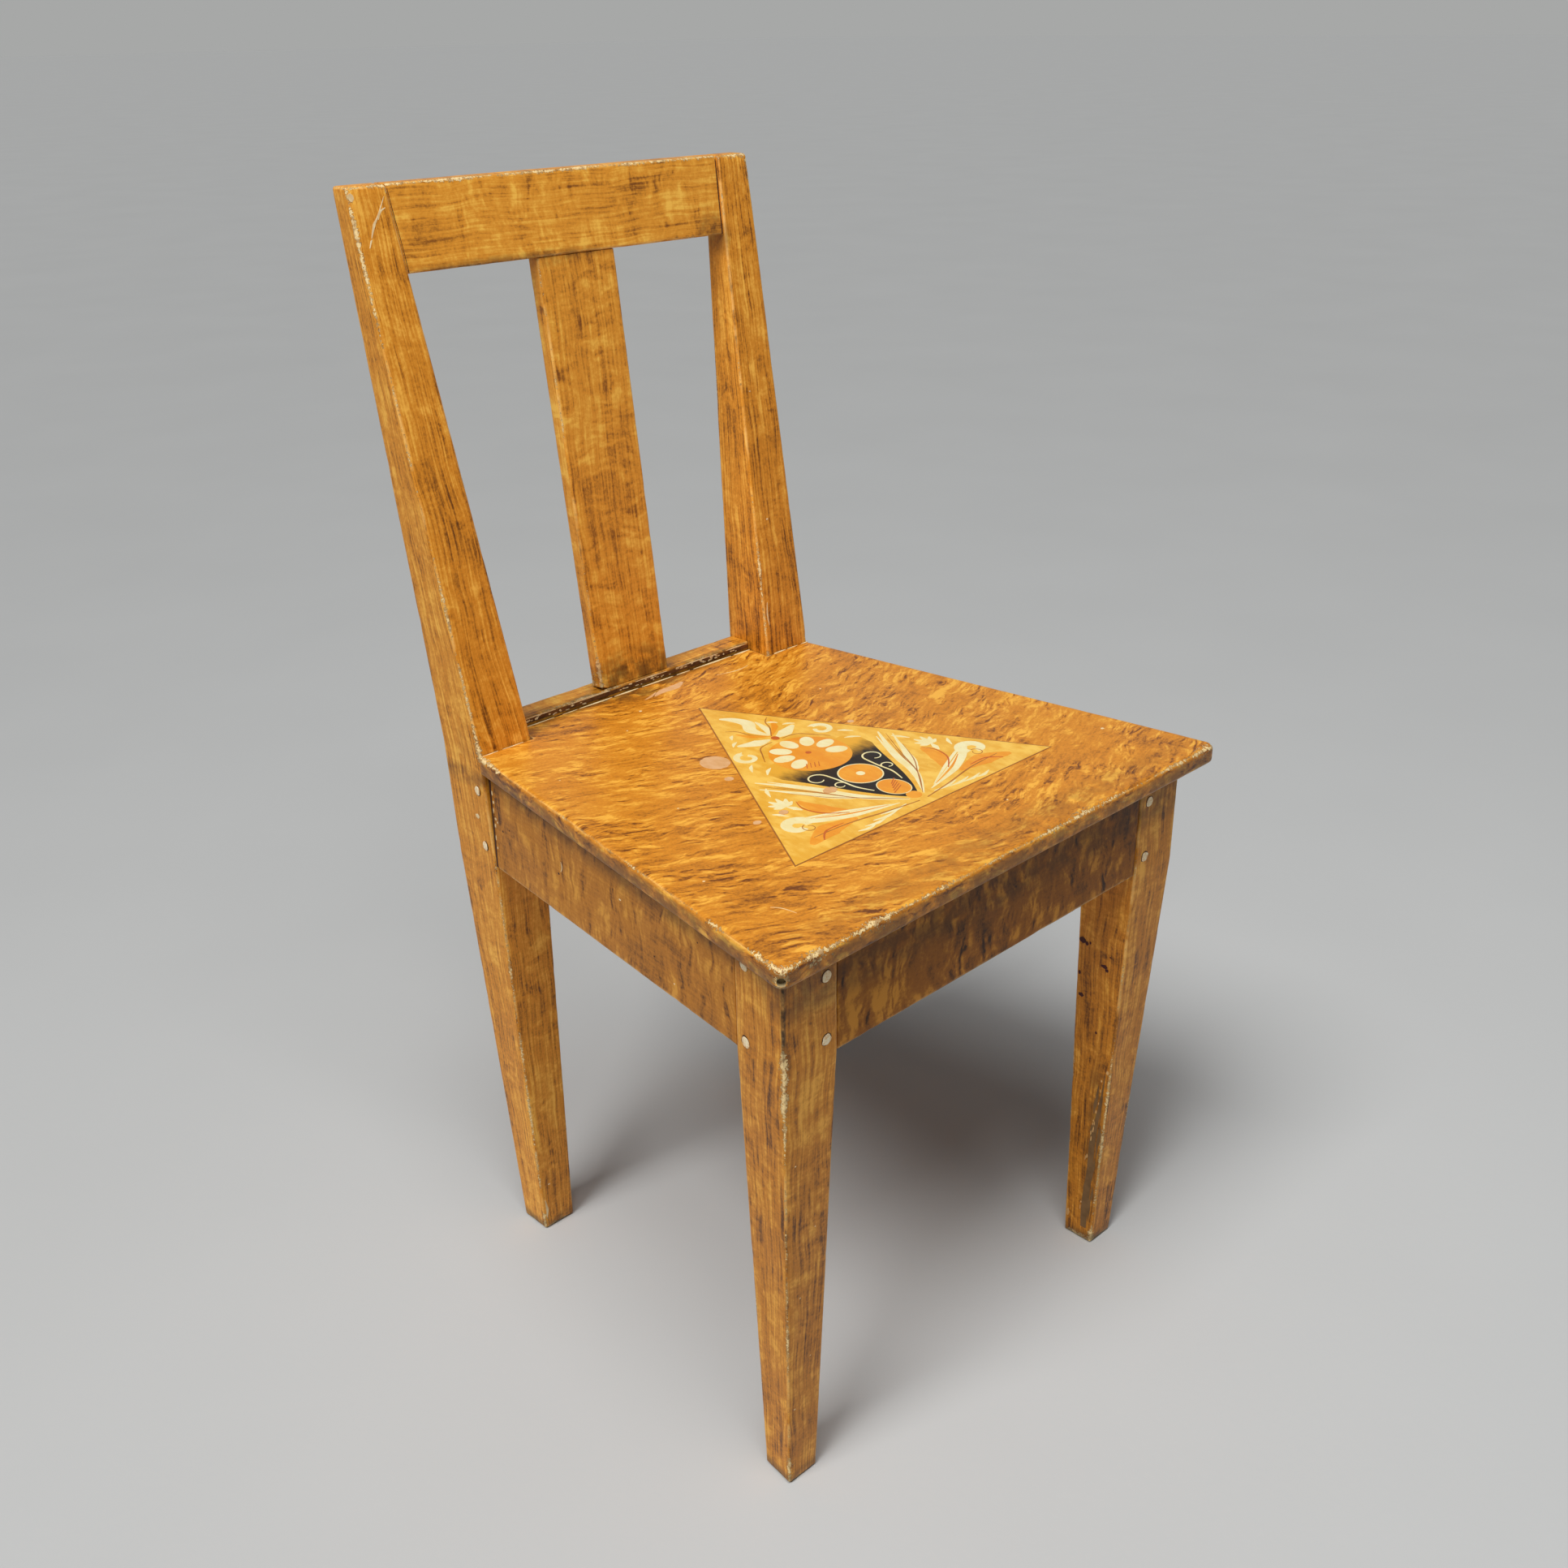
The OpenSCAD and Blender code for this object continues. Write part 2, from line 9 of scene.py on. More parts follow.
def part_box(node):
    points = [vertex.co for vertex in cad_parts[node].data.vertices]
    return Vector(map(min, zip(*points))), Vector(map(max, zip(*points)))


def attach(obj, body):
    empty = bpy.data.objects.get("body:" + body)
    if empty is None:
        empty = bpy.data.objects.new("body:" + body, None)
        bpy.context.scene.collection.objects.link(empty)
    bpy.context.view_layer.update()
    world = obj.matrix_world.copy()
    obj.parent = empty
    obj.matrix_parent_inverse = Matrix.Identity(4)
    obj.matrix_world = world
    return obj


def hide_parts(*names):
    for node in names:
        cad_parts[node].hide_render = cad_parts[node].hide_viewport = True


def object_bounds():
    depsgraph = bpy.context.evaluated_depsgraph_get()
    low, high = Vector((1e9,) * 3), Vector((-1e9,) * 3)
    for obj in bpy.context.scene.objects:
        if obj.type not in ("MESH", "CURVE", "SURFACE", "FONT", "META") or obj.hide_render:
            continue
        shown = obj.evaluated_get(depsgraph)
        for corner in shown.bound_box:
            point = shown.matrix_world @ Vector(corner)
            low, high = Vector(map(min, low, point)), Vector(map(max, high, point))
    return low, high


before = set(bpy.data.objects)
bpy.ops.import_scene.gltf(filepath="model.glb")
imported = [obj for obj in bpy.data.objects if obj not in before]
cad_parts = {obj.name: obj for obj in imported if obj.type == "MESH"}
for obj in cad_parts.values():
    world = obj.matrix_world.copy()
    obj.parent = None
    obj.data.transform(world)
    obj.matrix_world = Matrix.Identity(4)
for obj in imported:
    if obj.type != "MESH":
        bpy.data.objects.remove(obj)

# A worn side chair in wood-grain paint. Every wooden piece that shows is rebuilt
# as a fine mesh with rounded, dented edges inside its CAD solid. Metres, and the
# same frame as the CAD: +Z up, the front faces -Y, left is -X.

MM = 0.001
TINY = 0.02 * MM
CAD_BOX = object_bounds()
random.seed(7)


# ---- Places that the CAD gives ----

SEAT_LOW, SEAT_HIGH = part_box("seat_board")
SEAT_TOP = SEAT_HIGH.z
SEAT_BOTTOM = SEAT_LOW.z
RAIL_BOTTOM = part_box("front_seat_rail")[0].z
CHAIR_TOP = CAD_BOX[1].z
LEG_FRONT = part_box("front_leg_left")[0].y
STILE_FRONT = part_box("rear_leg_left")[0].y
REAR_RAIL_LOW, REAR_RAIL_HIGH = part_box("rear_seat_rail")

# Corners of a four-sided section, in the order that every ring follows
RING_SIGNS = ((-1, -1), (1, -1), (1, 1), (-1, 1))


def vertices(node):
    return [v.co.copy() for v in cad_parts[node].data.vertices]


def extreme(points, direction):
    """The point that lies furthest along a direction."""
    aim = Vector(direction)
    return max(points, key=lambda p: p.dot(aim))


def level_quad(node, z):
    """The four outer corners of a CAD node's section at a height."""
    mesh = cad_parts[node].data
    points = []
    for edge in mesh.edges:
        a, b = (mesh.vertices[i].co for i in edge.vertices)
        if (a.z - z) * (b.z - z) <= 0 and a.z != b.z:
            points.append(a.lerp(b, (z - a.z) / (b.z - a.z)))
    return [extreme(points, (sx, sy, 0)) for sx, sy in RING_SIGNS]


def arris(node, z, corner=0):
    """One outer corner of a leg at a height. Corner 0 is at the front, on the left."""
    return level_quad(node, z)[corner]


def end_quads(node, weights, along, across):
    """The corners of a rail's or splat's two ends, without its tenons.

    weights say how strongly each axis picks a corner, so that the tenons, which
    are thinner than the piece, are never picked. along is the axis that the
    piece runs on, and across are the other two, in ring order.
    """
    points = vertices(node)
    quads = []
    for end in (-1, 1):
        quad = []
        for signs in RING_SIGNS:
            aim = [0.0, 0.0, 0.0]
            aim[along] = end * weights[along]
            for axis, sign in zip(across, signs):
                aim[axis] = sign * weights[axis]
            quad.append(extreme(points, aim))
        quads.append(quad)
    return quads


def cross_quads(node):
    """The left and right end of a rail that runs across the chair."""
    return end_quads(node, (10, 1, 1000), 0, (1, 2))


def side_quads(node):
    """The front and rear end of a rail at the chair's side."""
    return end_quads(node, (1, 10, 1000), 1, (2, 0))


def splat_quads(node):
    return end_quads(node, (100, 1, 20), 2, (0, 1))


# ---- Where the chair is worn and dirty, and where shade is painted ----

# Each entry: where, how far it reaches in X, Y and Z, and how strong or deep it is
WORN = []
DIRT_AND_SHADE = []
BROKEN = []


def mark(places, *rows):
    """Adds places. Each row is where, its reach in mm, and its strength or depth."""
    for where, reach, strength in rows:
        places.append((Vector(where), Vector(reach) * MM, strength))


def strength_at(places, point):
    """The strongest of the places that reach a point, fading to nothing at its rim."""
    total = 0.0
    for where, reach, strength in places:
        away = point - where
        distance = math.sqrt(sum((away[i] / reach[i]) ** 2 for i in range(3)))
        if distance < 1:
            fade = 1 - distance * distance
            total = max(total, strength * min(1, 1.6 * fade))
    return total


def mark_wear():
    """The places that the photograph shows worn, dirty or broken, and the painted shade under the
    board.
    """
    side, front, back, top = SEAT_HIGH.x, SEAT_LOW.y, SEAT_HIGH.y, SEAT_TOP
    near, far = "front_leg_left", "front_leg_right"
    left, right = "rear_leg_left", "rear_leg_right"
    rail_low, rail_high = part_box("top_rail")
    splat_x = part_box("back_splat")[0].x
    splat_y = REAR_RAIL_LOW.y + 2 * MM
    splat_foot = (splat_x, splat_y, REAR_RAIL_HIGH.z + 6 * MM)
    mark(WORN,
         # The board: its front corners and front edge, its sides, back edge and notches
         ((-side, front, top), (50, 40, 16), 0.58),
         ((-side + 2 * MM, front + 2 * MM, (top + SEAT_BOTTOM) / 2), (14, 14, 10), 0.42),
         ((side, front, top), (45, 30, 16), 0.5),
         ((0, front, top), (300, 12, 16), 0.36),
         ((-0.212, -0.16, top), (12, 14, 12), 0.5),
         ((-0.19, 0, top), (50, 300, 8), 0.16),
         ((0.19, -0.02, top), (50, 120, 8), 0.25),
         ((-0.170, 0.125, top), (12, 26, 12), 0.6),
         ((0.5 * side, back, top), (160, 6, 6), 0.35),
         ((-0.3 * side, back, top), (120, 6, 6), 0.2),
         ((0.145, STILE_FRONT, top), (35, 25, 10), 0.5),
         ((-0.145, STILE_FRONT, top), (30, 20, 10), 0.25),
         # The near leg's outer front edge and foot, and the right leg's inner edge
         (arris(near, 0.335), (12, 12, 45), 0.6),
         (arris(near, 0.18), (15, 15, 150), 0.18),
         (arris(near, 0.005), (20, 20, 25), 0.55),
         (arris(far, 0.11), (10, 14, 130), 0.3),
         (arris(far, 0.0), (30, 30, 20), 0.7),
         # The rear legs and stiles
         (arris(left, 0.0), (30, 30, 20), 0.65),
         (arris(right, 0.0), (30, 30, 20), 0.65),
         (arris(left, 0.2), (20, 20, 200), 0.25),
         (arris(left, 0.47), (15, 15, 50), 0.3),
         (arris(left, 0.56), (15, 15, 50), 0.22),
         (arris(left, 0.66), (15, 15, 50), 0.2),
         (arris(left, 0.75), (15, 15, 50), 0.22),
         (arris(left, 0.815), (15, 15, 50), 0.34),
         (arris(right, 0.815, 1), (30, 30, 10), 0.5),
         (arris(right, 0.50), (15, 15, 80), 0.2),
         # The top rail, the splat's foot and the rear rail's top
         ((0, rail_low.y, CHAIR_TOP), (250, 30, 8), 0.34),
         ((0, rail_high.y, CHAIR_TOP), (250, 30, 8), 0.3),
         (splat_foot, (10, 16, 22), 0.7),
         ((-0.06, REAR_RAIL_LOW.y, REAR_RAIL_HIGH.z), (50, 20, 4), 0.4))
    mark(DIRT_AND_SHADE,
         ((-0.12, back, top), (50, 20, 20), 0.5),
         ((-0.02, back, top), (160, 8, 20), 0.6),
         (arris(near, 0.395), (2.8, 2.8, 45), 0.95),
         (arris(far, 0.10) + Vector((0, 0.009, 0)), (10, 10, 100), 0.5),
         # Every foot is dirty where it stands on the floor
         ((0, 0, 0), (600, 600, 12), 0.6),
         ((0.132, rail_low.y, rail_low.z), (18, 30, 20), 0.5),
         ((-0.06, rail_low.y, rail_low.z), (100, 20, 6), 0.5),
         ((0, splat_y, REAR_RAIL_HIGH.z), (50, 30, 28), 0.7),
         ((0, REAR_RAIL_LOW.y, REAR_RAIL_HIGH.z), (200, 5, 20), 0.6),
         # Painted shade under the overhang of the board, on the front rail and the left rail
         ((0, LEG_FRONT, SEAT_BOTTOM - 0.012), (400, 30, 34), 0.55),
         ((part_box("side_seat_rail_left")[0].x, 0, SEAT_BOTTOM - 0.006), (60, 400, 12), 0.5))
    mark(BROKEN, (splat_foot, (8, 12, 16), 2.2 * MM))
    # Edges that the photograph doesn't show are taken to be as worn as those it does
    for name, corners in (("left", (2, 3)), ("right", (1, 2, 3))):
        for corner in corners:
            for z, reach in ((0.10, 50), (0.27, 80), (0.52, 70), (0.66, 40), (0.81, 20)):
                mark(WORN, (arris("rear_leg_" + name, z, corner), (12, 12, reach),
                            random.uniform(0.1, 0.45)))
            mark(WORN, (arris("front_leg_" + name, 0.12, corner), (12, 12, 90),
                        random.uniform(0.15, 0.4)))


mark_wear()


# ---- Fine meshes ----

SIDE_POINTS = 10       # points on each side of a ring, between its corners
RING_GAP = 4 * MM      # distance between rings
CAP_INSET = 1.5 * MM   # how far a flat end lies inside its rounding
LEAST_ROUND = 0.4 * MM


def quarter(steps):
    """Points of a quarter circle, as their distances from its two sides."""
    angles = [math.pi / 2 * k / steps for k in range(steps + 1)]
    return [(1 - math.sin(a), 1 - math.cos(a)) for a in angles]


QUARTER = quarter(4)   # a rounded corner, or a rounded end


def add_object(name, data):
    """Puts an object with this data in the scene."""
    made = bpy.data.objects.new(name, data)
    bpy.context.scene.collection.objects.link(made)
    return made


def add_mesh(name, points, faces, smooth=False):
    mesh = bpy.data.meshes.new(name)
    mesh.from_pydata(points, [], faces)
    if smooth:
        mesh.polygons.foreach_set("use_smooth", [True] * len(faces))
    mesh.update()
    return add_object(name, mesh)


def tube_faces(count, size, first=0):
    """Quads between rings of the same size, and a cap at each end."""
    faces = []
    for i in range(first, first + (count - 1) * size, size):
        for j in range(size):
            k = (j + 1) % size
            faces.append((i + j, i + k, i + size + k, i + size + j))
    last = first + (count - 1) * size
    faces.append(tuple(range(first + size - 1, first - 1, -1)))
    faces.append(tuple(range(last, last + size)))
    return faces


def distances_round(points):
    """How far each point lies along a closed ring, and the ring's whole length."""
    sums = [0.0]
    for a, b in zip(points, points[1:] + points[:1]):
        sums.append(sums[-1] + (b - a).length)
    return sums


def ring(quad, radius, inset):
    """Points round a four-sided section with rounded corners, moved in by inset."""
    arcs = []
    for i, corner in enumerate(quad):
        back = (quad[i - 1] - corner).normalized()
        ahead = (quad[(i + 1) % 4] - corner).normalized()
        tip = corner + (back + ahead) * inset
        r = max(radius - inset, LEAST_ROUND)
        arcs.append([tip + back * r * p + ahead * r * q for p, q in QUARTER])
    points = []
    for arc, following in zip(arcs, arcs[1:] + arcs[:1]):
        points += arc
        for k in range(1, SIDE_POINTS + 1):
            share = 0.5 - 0.5 * math.cos(math.pi * k / (SIDE_POINTS + 1))
            points.append(arc[-1].lerp(following[0], share))
    return points


def middle(quad):
    return sum(quad, Vector()) / 4


def rings_along(quads, radius, end_radius, bare_ends):
    """Rings through the given sections, with rounded ends.

    Each is its points, their distances from the nearest sharp edge, and how far
    along it lies. bare_ends says which of the two ends has edges that wear.
    """
    lengths = [(middle(b) - middle(a)).length for a, b in zip(quads, quads[1:])]
    total = sum(lengths)

    def section(s):
        for length, a, b in zip(lengths, quads, quads[1:]):
            if s <= length:
                return [p.lerp(q, s / length) for p, q in zip(a, b)]
            s -= length
        return quads[-1]

    first, last = end_radius
    stops = [(0.0, first + CAP_INSET)]
    stops += [(first * q, first * p) for p, q in QUARTER]
    start = first
    knee = 0.0
    for length in lengths:
        knee += length
        end = min(knee, total - last)
        count = max(1, round((end - start) / RING_GAP))
        stops += [(start + (end - start) * k / count, 0.0) for k in range(1, count + 1)]
        start = end
    stops += [(total - last * p, last * q) for p, q in QUARTER[1:]]
    stops.append((total, last + CAP_INSET))

    rings = []
    for s, inset in stops:
        quad = section(s)
        points = ring(quad, radius, inset)
        from_end = min(s if bare_ends[0] else 1.0, total - s if bare_ends[1] else 1.0)
        rim = max(from_end, inset) if min(s, total - s) < 0.5 * MM else from_end
        edges = [min(rim, min((p - c).length for c in quad)) for p in points]
        rings.append((points, edges, s))
    return rings


def lost_wood(point, edge, wear):
    """How far the surface lies behind the new piece's: waves, dents and worn edges."""
    waves = 0.10 + 0.08 * noise.noise(point * 9)
    near = max(0.0, 1 - edge / (4 * MM))
    dents = max(0.0, noise.fractal(point * 70, 1.0, 2.0, 3) - 0.15) * 1.3
    rubbed = near * (0.15 + 0.9 * wear * (0.6 + 0.5 * noise.noise(point * 45)))
    splinters = 0.75 + 0.5 * noise.noise(point * 260)
    lost = strength_at(BROKEN, point) * splinters
    return (waves + rubbed + near * dents * (0.35 + wear)) * MM + lost


def build(name, points, faces, grain, edges, darkening=None):
    """A mesh object with what the paint reads: grain, edge, wear, and dirt with painted shade.

    The caller can add more darkening at each point, in the last argument.
    """
    piece = add_mesh(name, points, faces, smooth=True)
    mesh = piece.data
    normals = [v.normal.copy() for v in mesh.vertices]
    wear = [strength_at(WORN, p) for p in points]
    dirt_and_shade = [strength_at(DIRT_AND_SHADE, p) for p in points]
    if darkening:
        dirt_and_shade = [max(pair) for pair in zip(dirt_and_shade, darkening)]
    for i, v in enumerate(mesh.vertices):
        v.co = v.co - normals[i] * lost_wood(points[i], edges[i], wear[i])
    vectors = mesh.attributes.new("grain", "FLOAT_VECTOR", "CORNER").data
    for loop_grain, slot in zip(grain, vectors):
        slot.vector = loop_grain
    for key, values in (("edge", [e / MM for e in edges]), ("wear", wear), ("dirt_and_shade", dirt_and_shade)):
        mesh.attributes.new(key, "FLOAT", "POINT").data.foreach_set("value", values)
    mesh.update()
    return piece


def finish_piece(piece, material, node=None):
    """Gives a new piece its material, hangs it on the root, and hides the CAD node that it replaces."""
    surface, slot = material
    piece.data.materials.append(surface)
    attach(piece, "root")
    if node:
        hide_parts(node)


def wooden_bar(node, quads, radius, end_radius, bare_ends, material):
    """Replaces a CAD node by a fine mesh through its sections. Radii are in mm."""
    rings = rings_along(quads, radius * MM, [r * MM for r in end_radius], bare_ends)
    size = len(rings[0][0])
    points = [p for r in rings for p in r[0]]
    edges = [e for r in rings for e in r[1]]
    around = distances_round(rings[len(rings) // 2][0])
    seed = random.uniform(0, 10)
    faces = tube_faces(len(rings), size)
    grain = []
    for face in faces[:-2]:
        here, there = rings[face[0] // size][2], rings[face[2] // size][2]
        j = face[0] % size
        for s, place in ((here, j), (here, j + 1), (there, j + 1), (there, j)):
            grain.append((s, around[place], seed))
    for face in faces[-2:]:
        # End grain: no length to run along
        grain += [(points[v].x * 4, points[v].y * 4, seed + points[v].z) for v in face]
    finish_piece(build(node + "_wood", points, faces, grain, edges), material, node)


# ---- Materials ----

def srgb(*channels):
    """A colour written as 0 to 255 in sRGB, for a shader."""
    linear = []
    for c in channels:
        c /= 255
        linear.append(c / 12.92 if c <= 0.04045 else ((c + 0.055) / 1.055) ** 2.4)
    return (*linear, 1.0)


class Surface:
    """One material. Its methods add a node and return what comes out of it."""

    def __init__(self, name):
        self.material = bpy.data.materials.new(name)
        self.material.use_nodes = True
        self.tree = self.material.node_tree
        self.shader = self.tree.nodes["Principled BSDF"]

    def feed(self, node, pairs):
        """Links or sets a node's sockets, each given by its name or number."""
        for key, value in pairs:
            if isinstance(value, bpy.types.NodeSocket):
                self.tree.links.new(value, node.inputs[key])
            else:
                node.inputs[key].default_value = value

    def node(self, kind, *pairs, **settings):
        made = self.tree.nodes.new(kind)
        for key, value in settings.items():
            setattr(made, key, value)
        self.feed(made, pairs)
        return made

    def place(self):
        return self.node("ShaderNodeTexCoord").outputs["Object"]

    def attribute(self, name, output="Fac"):
        return self.node("ShaderNodeAttribute", attribute_name=name).outputs[output]

    def math(self, operation, a, b=0.0, c=0.0, clamp=False):
        made = self.node("ShaderNodeMath", (0, a), (1, b), (2, c), operation=operation,
                         use_clamp=clamp)
        return made.outputs[0]

    def vary(self, base, value, amount):
        """The base, moved by amount times a value that lies about 0.5."""
        if isinstance(base, float):
            lowered = base - amount / 2
        else:
            lowered = self.math("SUBTRACT", base, amount / 2)
        return self.math("MULTIPLY_ADD", value, amount, lowered)

    def scaled(self, vector, scale, shift=(0, 0, 0), turn=(0, 0, 0)):
        return self.node("ShaderNodeMapping", ("Vector", vector), ("Location", shift),
                         ("Rotation", turn), ("Scale", scale)).outputs[0]

    def noise(self, vector, scale=1.0, detail=3.0, roughness=0.5, distortion=0.0, colour=False):
        made = self.node("ShaderNodeTexNoise", ("Vector", vector), ("Scale", scale),
                         ("Detail", detail), ("Roughness", roughness), ("Distortion", distortion))
        return made.outputs[1 if colour else 0]

    def warped(self, vector, scale, amount, detail=2.0):
        """The vector, moved about by up to half of amount in each direction."""
        swirl = self.noise(vector, scale, detail, colour=True)
        centred = self.node("ShaderNodeVectorMath", (0, swirl), (1, (0.5, 0.5, 0.5)),
                            operation="SUBTRACT")
        moved = self.node("ShaderNodeVectorMath", (0, centred.outputs[0]),
                          (1, (amount, amount, amount)), (2, vector), operation="MULTIPLY_ADD")
        return moved.outputs[0]

    def relief(self, vector, shift, detail):
        """Noise shaded as if lit from one side: about -0.3 to 0.3."""
        here = self.noise(vector, 1.0, detail, 0.5, 0.3)
        there = self.noise(self.scaled(vector, (1, 1, 1), shift), 1.0, detail, 0.5, 0.3)
        return self.math("SUBTRACT", here, there)

    def step(self, value, low, high, start=0.0, end=1.0):
        """A smooth step of value from start at low to end at high."""
        made = self.node("ShaderNodeMapRange", ("Value", value), ("From Min", low),
                         ("From Max", high), ("To Min", start), ("To Max", end),
                         interpolation_type="SMOOTHSTEP")
        return made.outputs["Result"]

    def mix(self, share, a, b):
        """A colour between a and b."""
        made = self.node("ShaderNodeMix", ("Factor", share), (6, a), (7, b), data_type="RGBA")
        return made.outputs[2]

    def blend(self, share, a, b):
        """A number between a and b."""
        made = self.node("ShaderNodeMix", ("Factor", share), (2, a), (3, b), data_type="FLOAT")
        return made.outputs[0]

    def bump(self, height, distance, strength, under=None):
        """A normal bent by a height, whose full range is a distance in mm."""
        made = self.node("ShaderNodeBump", ("Strength", strength), ("Distance", distance * MM),
                         ("Height", height))
        if under is not None:
            self.feed(made, [("Normal", under)])
        return made.outputs[0]

    def finish(self, colour, roughness, normal, coat=0.0, gloss=0.3):
        self.feed(self.shader, (
            ("Base Color", colour), ("Roughness", roughness), ("Normal", normal),
            ("Specular IOR Level", gloss), ("Coat Weight", coat), ("Coat Roughness", 0.35)))
        return self.material


# Colours under and on the paint
PRIMER = srgb(250, 218, 156)
OLD_WOOD = srgb(156, 108, 60)
# Dark brown of grime, which also serves as the painted shade under the board
GRIME_AND_SHADE = srgb(52, 34, 20)


def worn_through(s, paint):
    """Paint that is chipped near edges, down to primer and wood, with grime and painted shade.

    Returns the colour, and how much of the paint is gone.
    """
    edge, wear, dirt_and_shade = (s.attribute(name) for name in ("edge", "wear", "dirt_and_shade"))
    place = s.place()
    fine = s.noise(place, 560, 5, 0.68)
    patches = s.noise(place, 38, 2, 0.5)
    # How far the wear reaches in from the edge, in mm
    reach = s.math("MULTIPLY_ADD", wear, 4.0, 1.9)
    depth = s.math("MAXIMUM", s.math("SUBTRACT", 1.0, s.math("DIVIDE", edge, reach)), -0.4)
    field = s.math("MULTIPLY_ADD", depth, 0.6, s.vary(0.0, fine, 2.0))
    field = s.vary(field, patches, 1.1)
    field = s.math("ADD", field, s.math("MULTIPLY_ADD", wear, 0.55, -0.24))
    gone = s.step(field, 0.30, 0.36)
    deep = s.step(s.noise(place, 260, 3, 0.6), 0.46, 0.62)
    under = s.mix(s.math("MULTIPLY", deep, 0.7), PRIMER, OLD_WOOD)
    speckled = s.mix(s.step(fine, 0.58, 0.70, 0.0, 0.5), under, GRIME_AND_SHADE)
    colour = s.mix(gone, paint, speckled)
    # A thin dark rim where the paint ends
    rim = s.math("SUBTRACT", s.step(field, 0.22, 0.30), s.step(field, 0.30, 0.34))
    colour = s.mix(s.math("MULTIPLY", rim, 0.45, clamp=True), colour, GRIME_AND_SHADE)
    # Darkened towards grime by dirt, and by the painted shade under the board
    darkening = s.math("MULTIPLY", dirt_and_shade, s.step(s.noise(place, 90, 4, 0.6), 0.25, 0.6))
    return s.mix(darkening, colour, GRIME_AND_SHADE), gone


def grained_paint(slot, name, colours, fibre, mottle, figure, scale, shift, coat=0.12, gloss=0.3):
    """Wood-grain paint and its slot. grain runs along X, in metres.

    colours are the light, middle and dark of the grain. fibre is the strength of
    the fine lengthwise lines, mottle of the soft patches, and figure of the curls.
    scale is the curls' number per metre along and across the grain, and shift is
    the way that each curl's dark side faces.
    """
    s = Surface(name)
    light, mid, dark = (srgb(*c) for c in colours)
    grain = s.attribute("grain", "Vector")
    flow = s.warped(grain, 12, 0.012)
    lines = s.noise(s.scaled(flow, (12, 430, 430)), 1.0, 4, 0.62)
    strands = s.noise(s.scaled(flow, (6, 110, 110)), 1.0, 3, 0.55)
    clouds = s.noise(s.scaled(grain, (11, 15, 15)), 1.0, 3, 0.5, 0.4)
    small = s.noise(s.scaled(grain, (40, 60, 60)), 1.0, 3, 0.55, 0.5)
    swirled = s.warped(grain, 24, 0.024, 3)
    along, across = scale
    shift = (*shift, 0)
    curls = s.relief(s.scaled(swirled, (along, across, 30)), shift, 2.5)
    fine = s.relief(s.scaled(swirled, (2.7 * along, 2.7 * across, 60)), shift, 2.5)
    blots = s.noise(s.scaled(swirled, (1.3 * along, 1.3 * across, 40), (5, 2, 0)),
                    1.0, 4, 0.6, 0.6)
    curled = s.vary(s.math("MULTIPLY_ADD", fine, 0.9, curls), blots, 1.5)
    gate = s.step(small, 0.38, 0.62, 0.25, 1.0)
    tone = s.vary(0.5, clouds, 2.2 * mottle)
    tone = s.vary(tone, small, 1.6 * mottle)
    tone = s.vary(tone, lines, 2.4 * fibre)
    tone = s.vary(tone, strands, fibre)
    tone = s.math("MULTIPLY_ADD", s.math("MULTIPLY", curled, gate), figure, tone)
    tone = s.vary(tone, s.noise(s.place(), 520, 4, 0.7), 1.0)
    paint = s.mix(s.step(tone, -0.3, 0.52), dark, mid)
    paint = s.mix(s.step(tone, 0.42, 1.25), paint, light)
    # Paint rubbed thin and pale along the edges
    rubbed = s.math("MULTIPLY", s.step(s.attribute("edge"), 2.6, 0.7), s.step(small, 0.36, 0.62))
    paint = s.mix(s.math("MULTIPLY", rubbed, 0.6), paint, s.mix(0.45, light, PRIMER))
    colour, gone = worn_through(s, paint)
    height = s.math("MULTIPLY_ADD", lines, 0.3, s.noise(s.place(), 160, 2, 0.5))
    normal = s.bump(s.math("SUBTRACT", 1.0, gone), 0.3, 0.9, s.bump(height, 0.1, 0.5))
    roughness = s.blend(gone, s.step(clouds, 0.2, 0.8, 0.38, 0.50), 0.8)
    return s.finish(colour, roughness, normal, coat, gloss), slot


def plain_paint(slot, name, colour, second, share=0.5, rough=0.42, ends=None):
    """Brushed paint of one colour, a little uneven and scratched, and its slot.

    ends gives the two distances forward of the origin, in mm, between which the
    paint thins out to its second colour.
    """
    s = Surface(name)
    place = s.place()
    brushed = s.noise(s.scaled(place, (220, 90, 90), turn=(0, 0, 0.6)), 1.0, 4, 0.6)
    patches = s.noise(place, 60, 2, 0.5)
    mixed = s.math("MULTIPLY", s.step(s.math("ADD", brushed, patches), 0.75, 1.3), share)
    if ends:
        forward = s.node("ShaderNodeSeparateXYZ", (0, place)).outputs["Y"]
        ragged = s.math("MULTIPLY_ADD", brushed, 0.02, forward)
        mixed = s.math("MAXIMUM", mixed, s.step(ragged, ends[0] * MM, ends[1] * MM))
    paint = s.mix(mixed, srgb(*colour), srgb(*second))
    specks = s.step(s.noise(place, 900, 3, 0.6), 0.66, 0.74, 0.0, 0.5)
    paint = s.mix(specks, paint, GRIME_AND_SHADE)
    roughness = s.step(patches, 0.3, 0.7, rough - 0.05, rough + 0.08)
    return s.finish(paint, roughness, s.bump(brushed, 0.08, 0.5), 0.12), slot


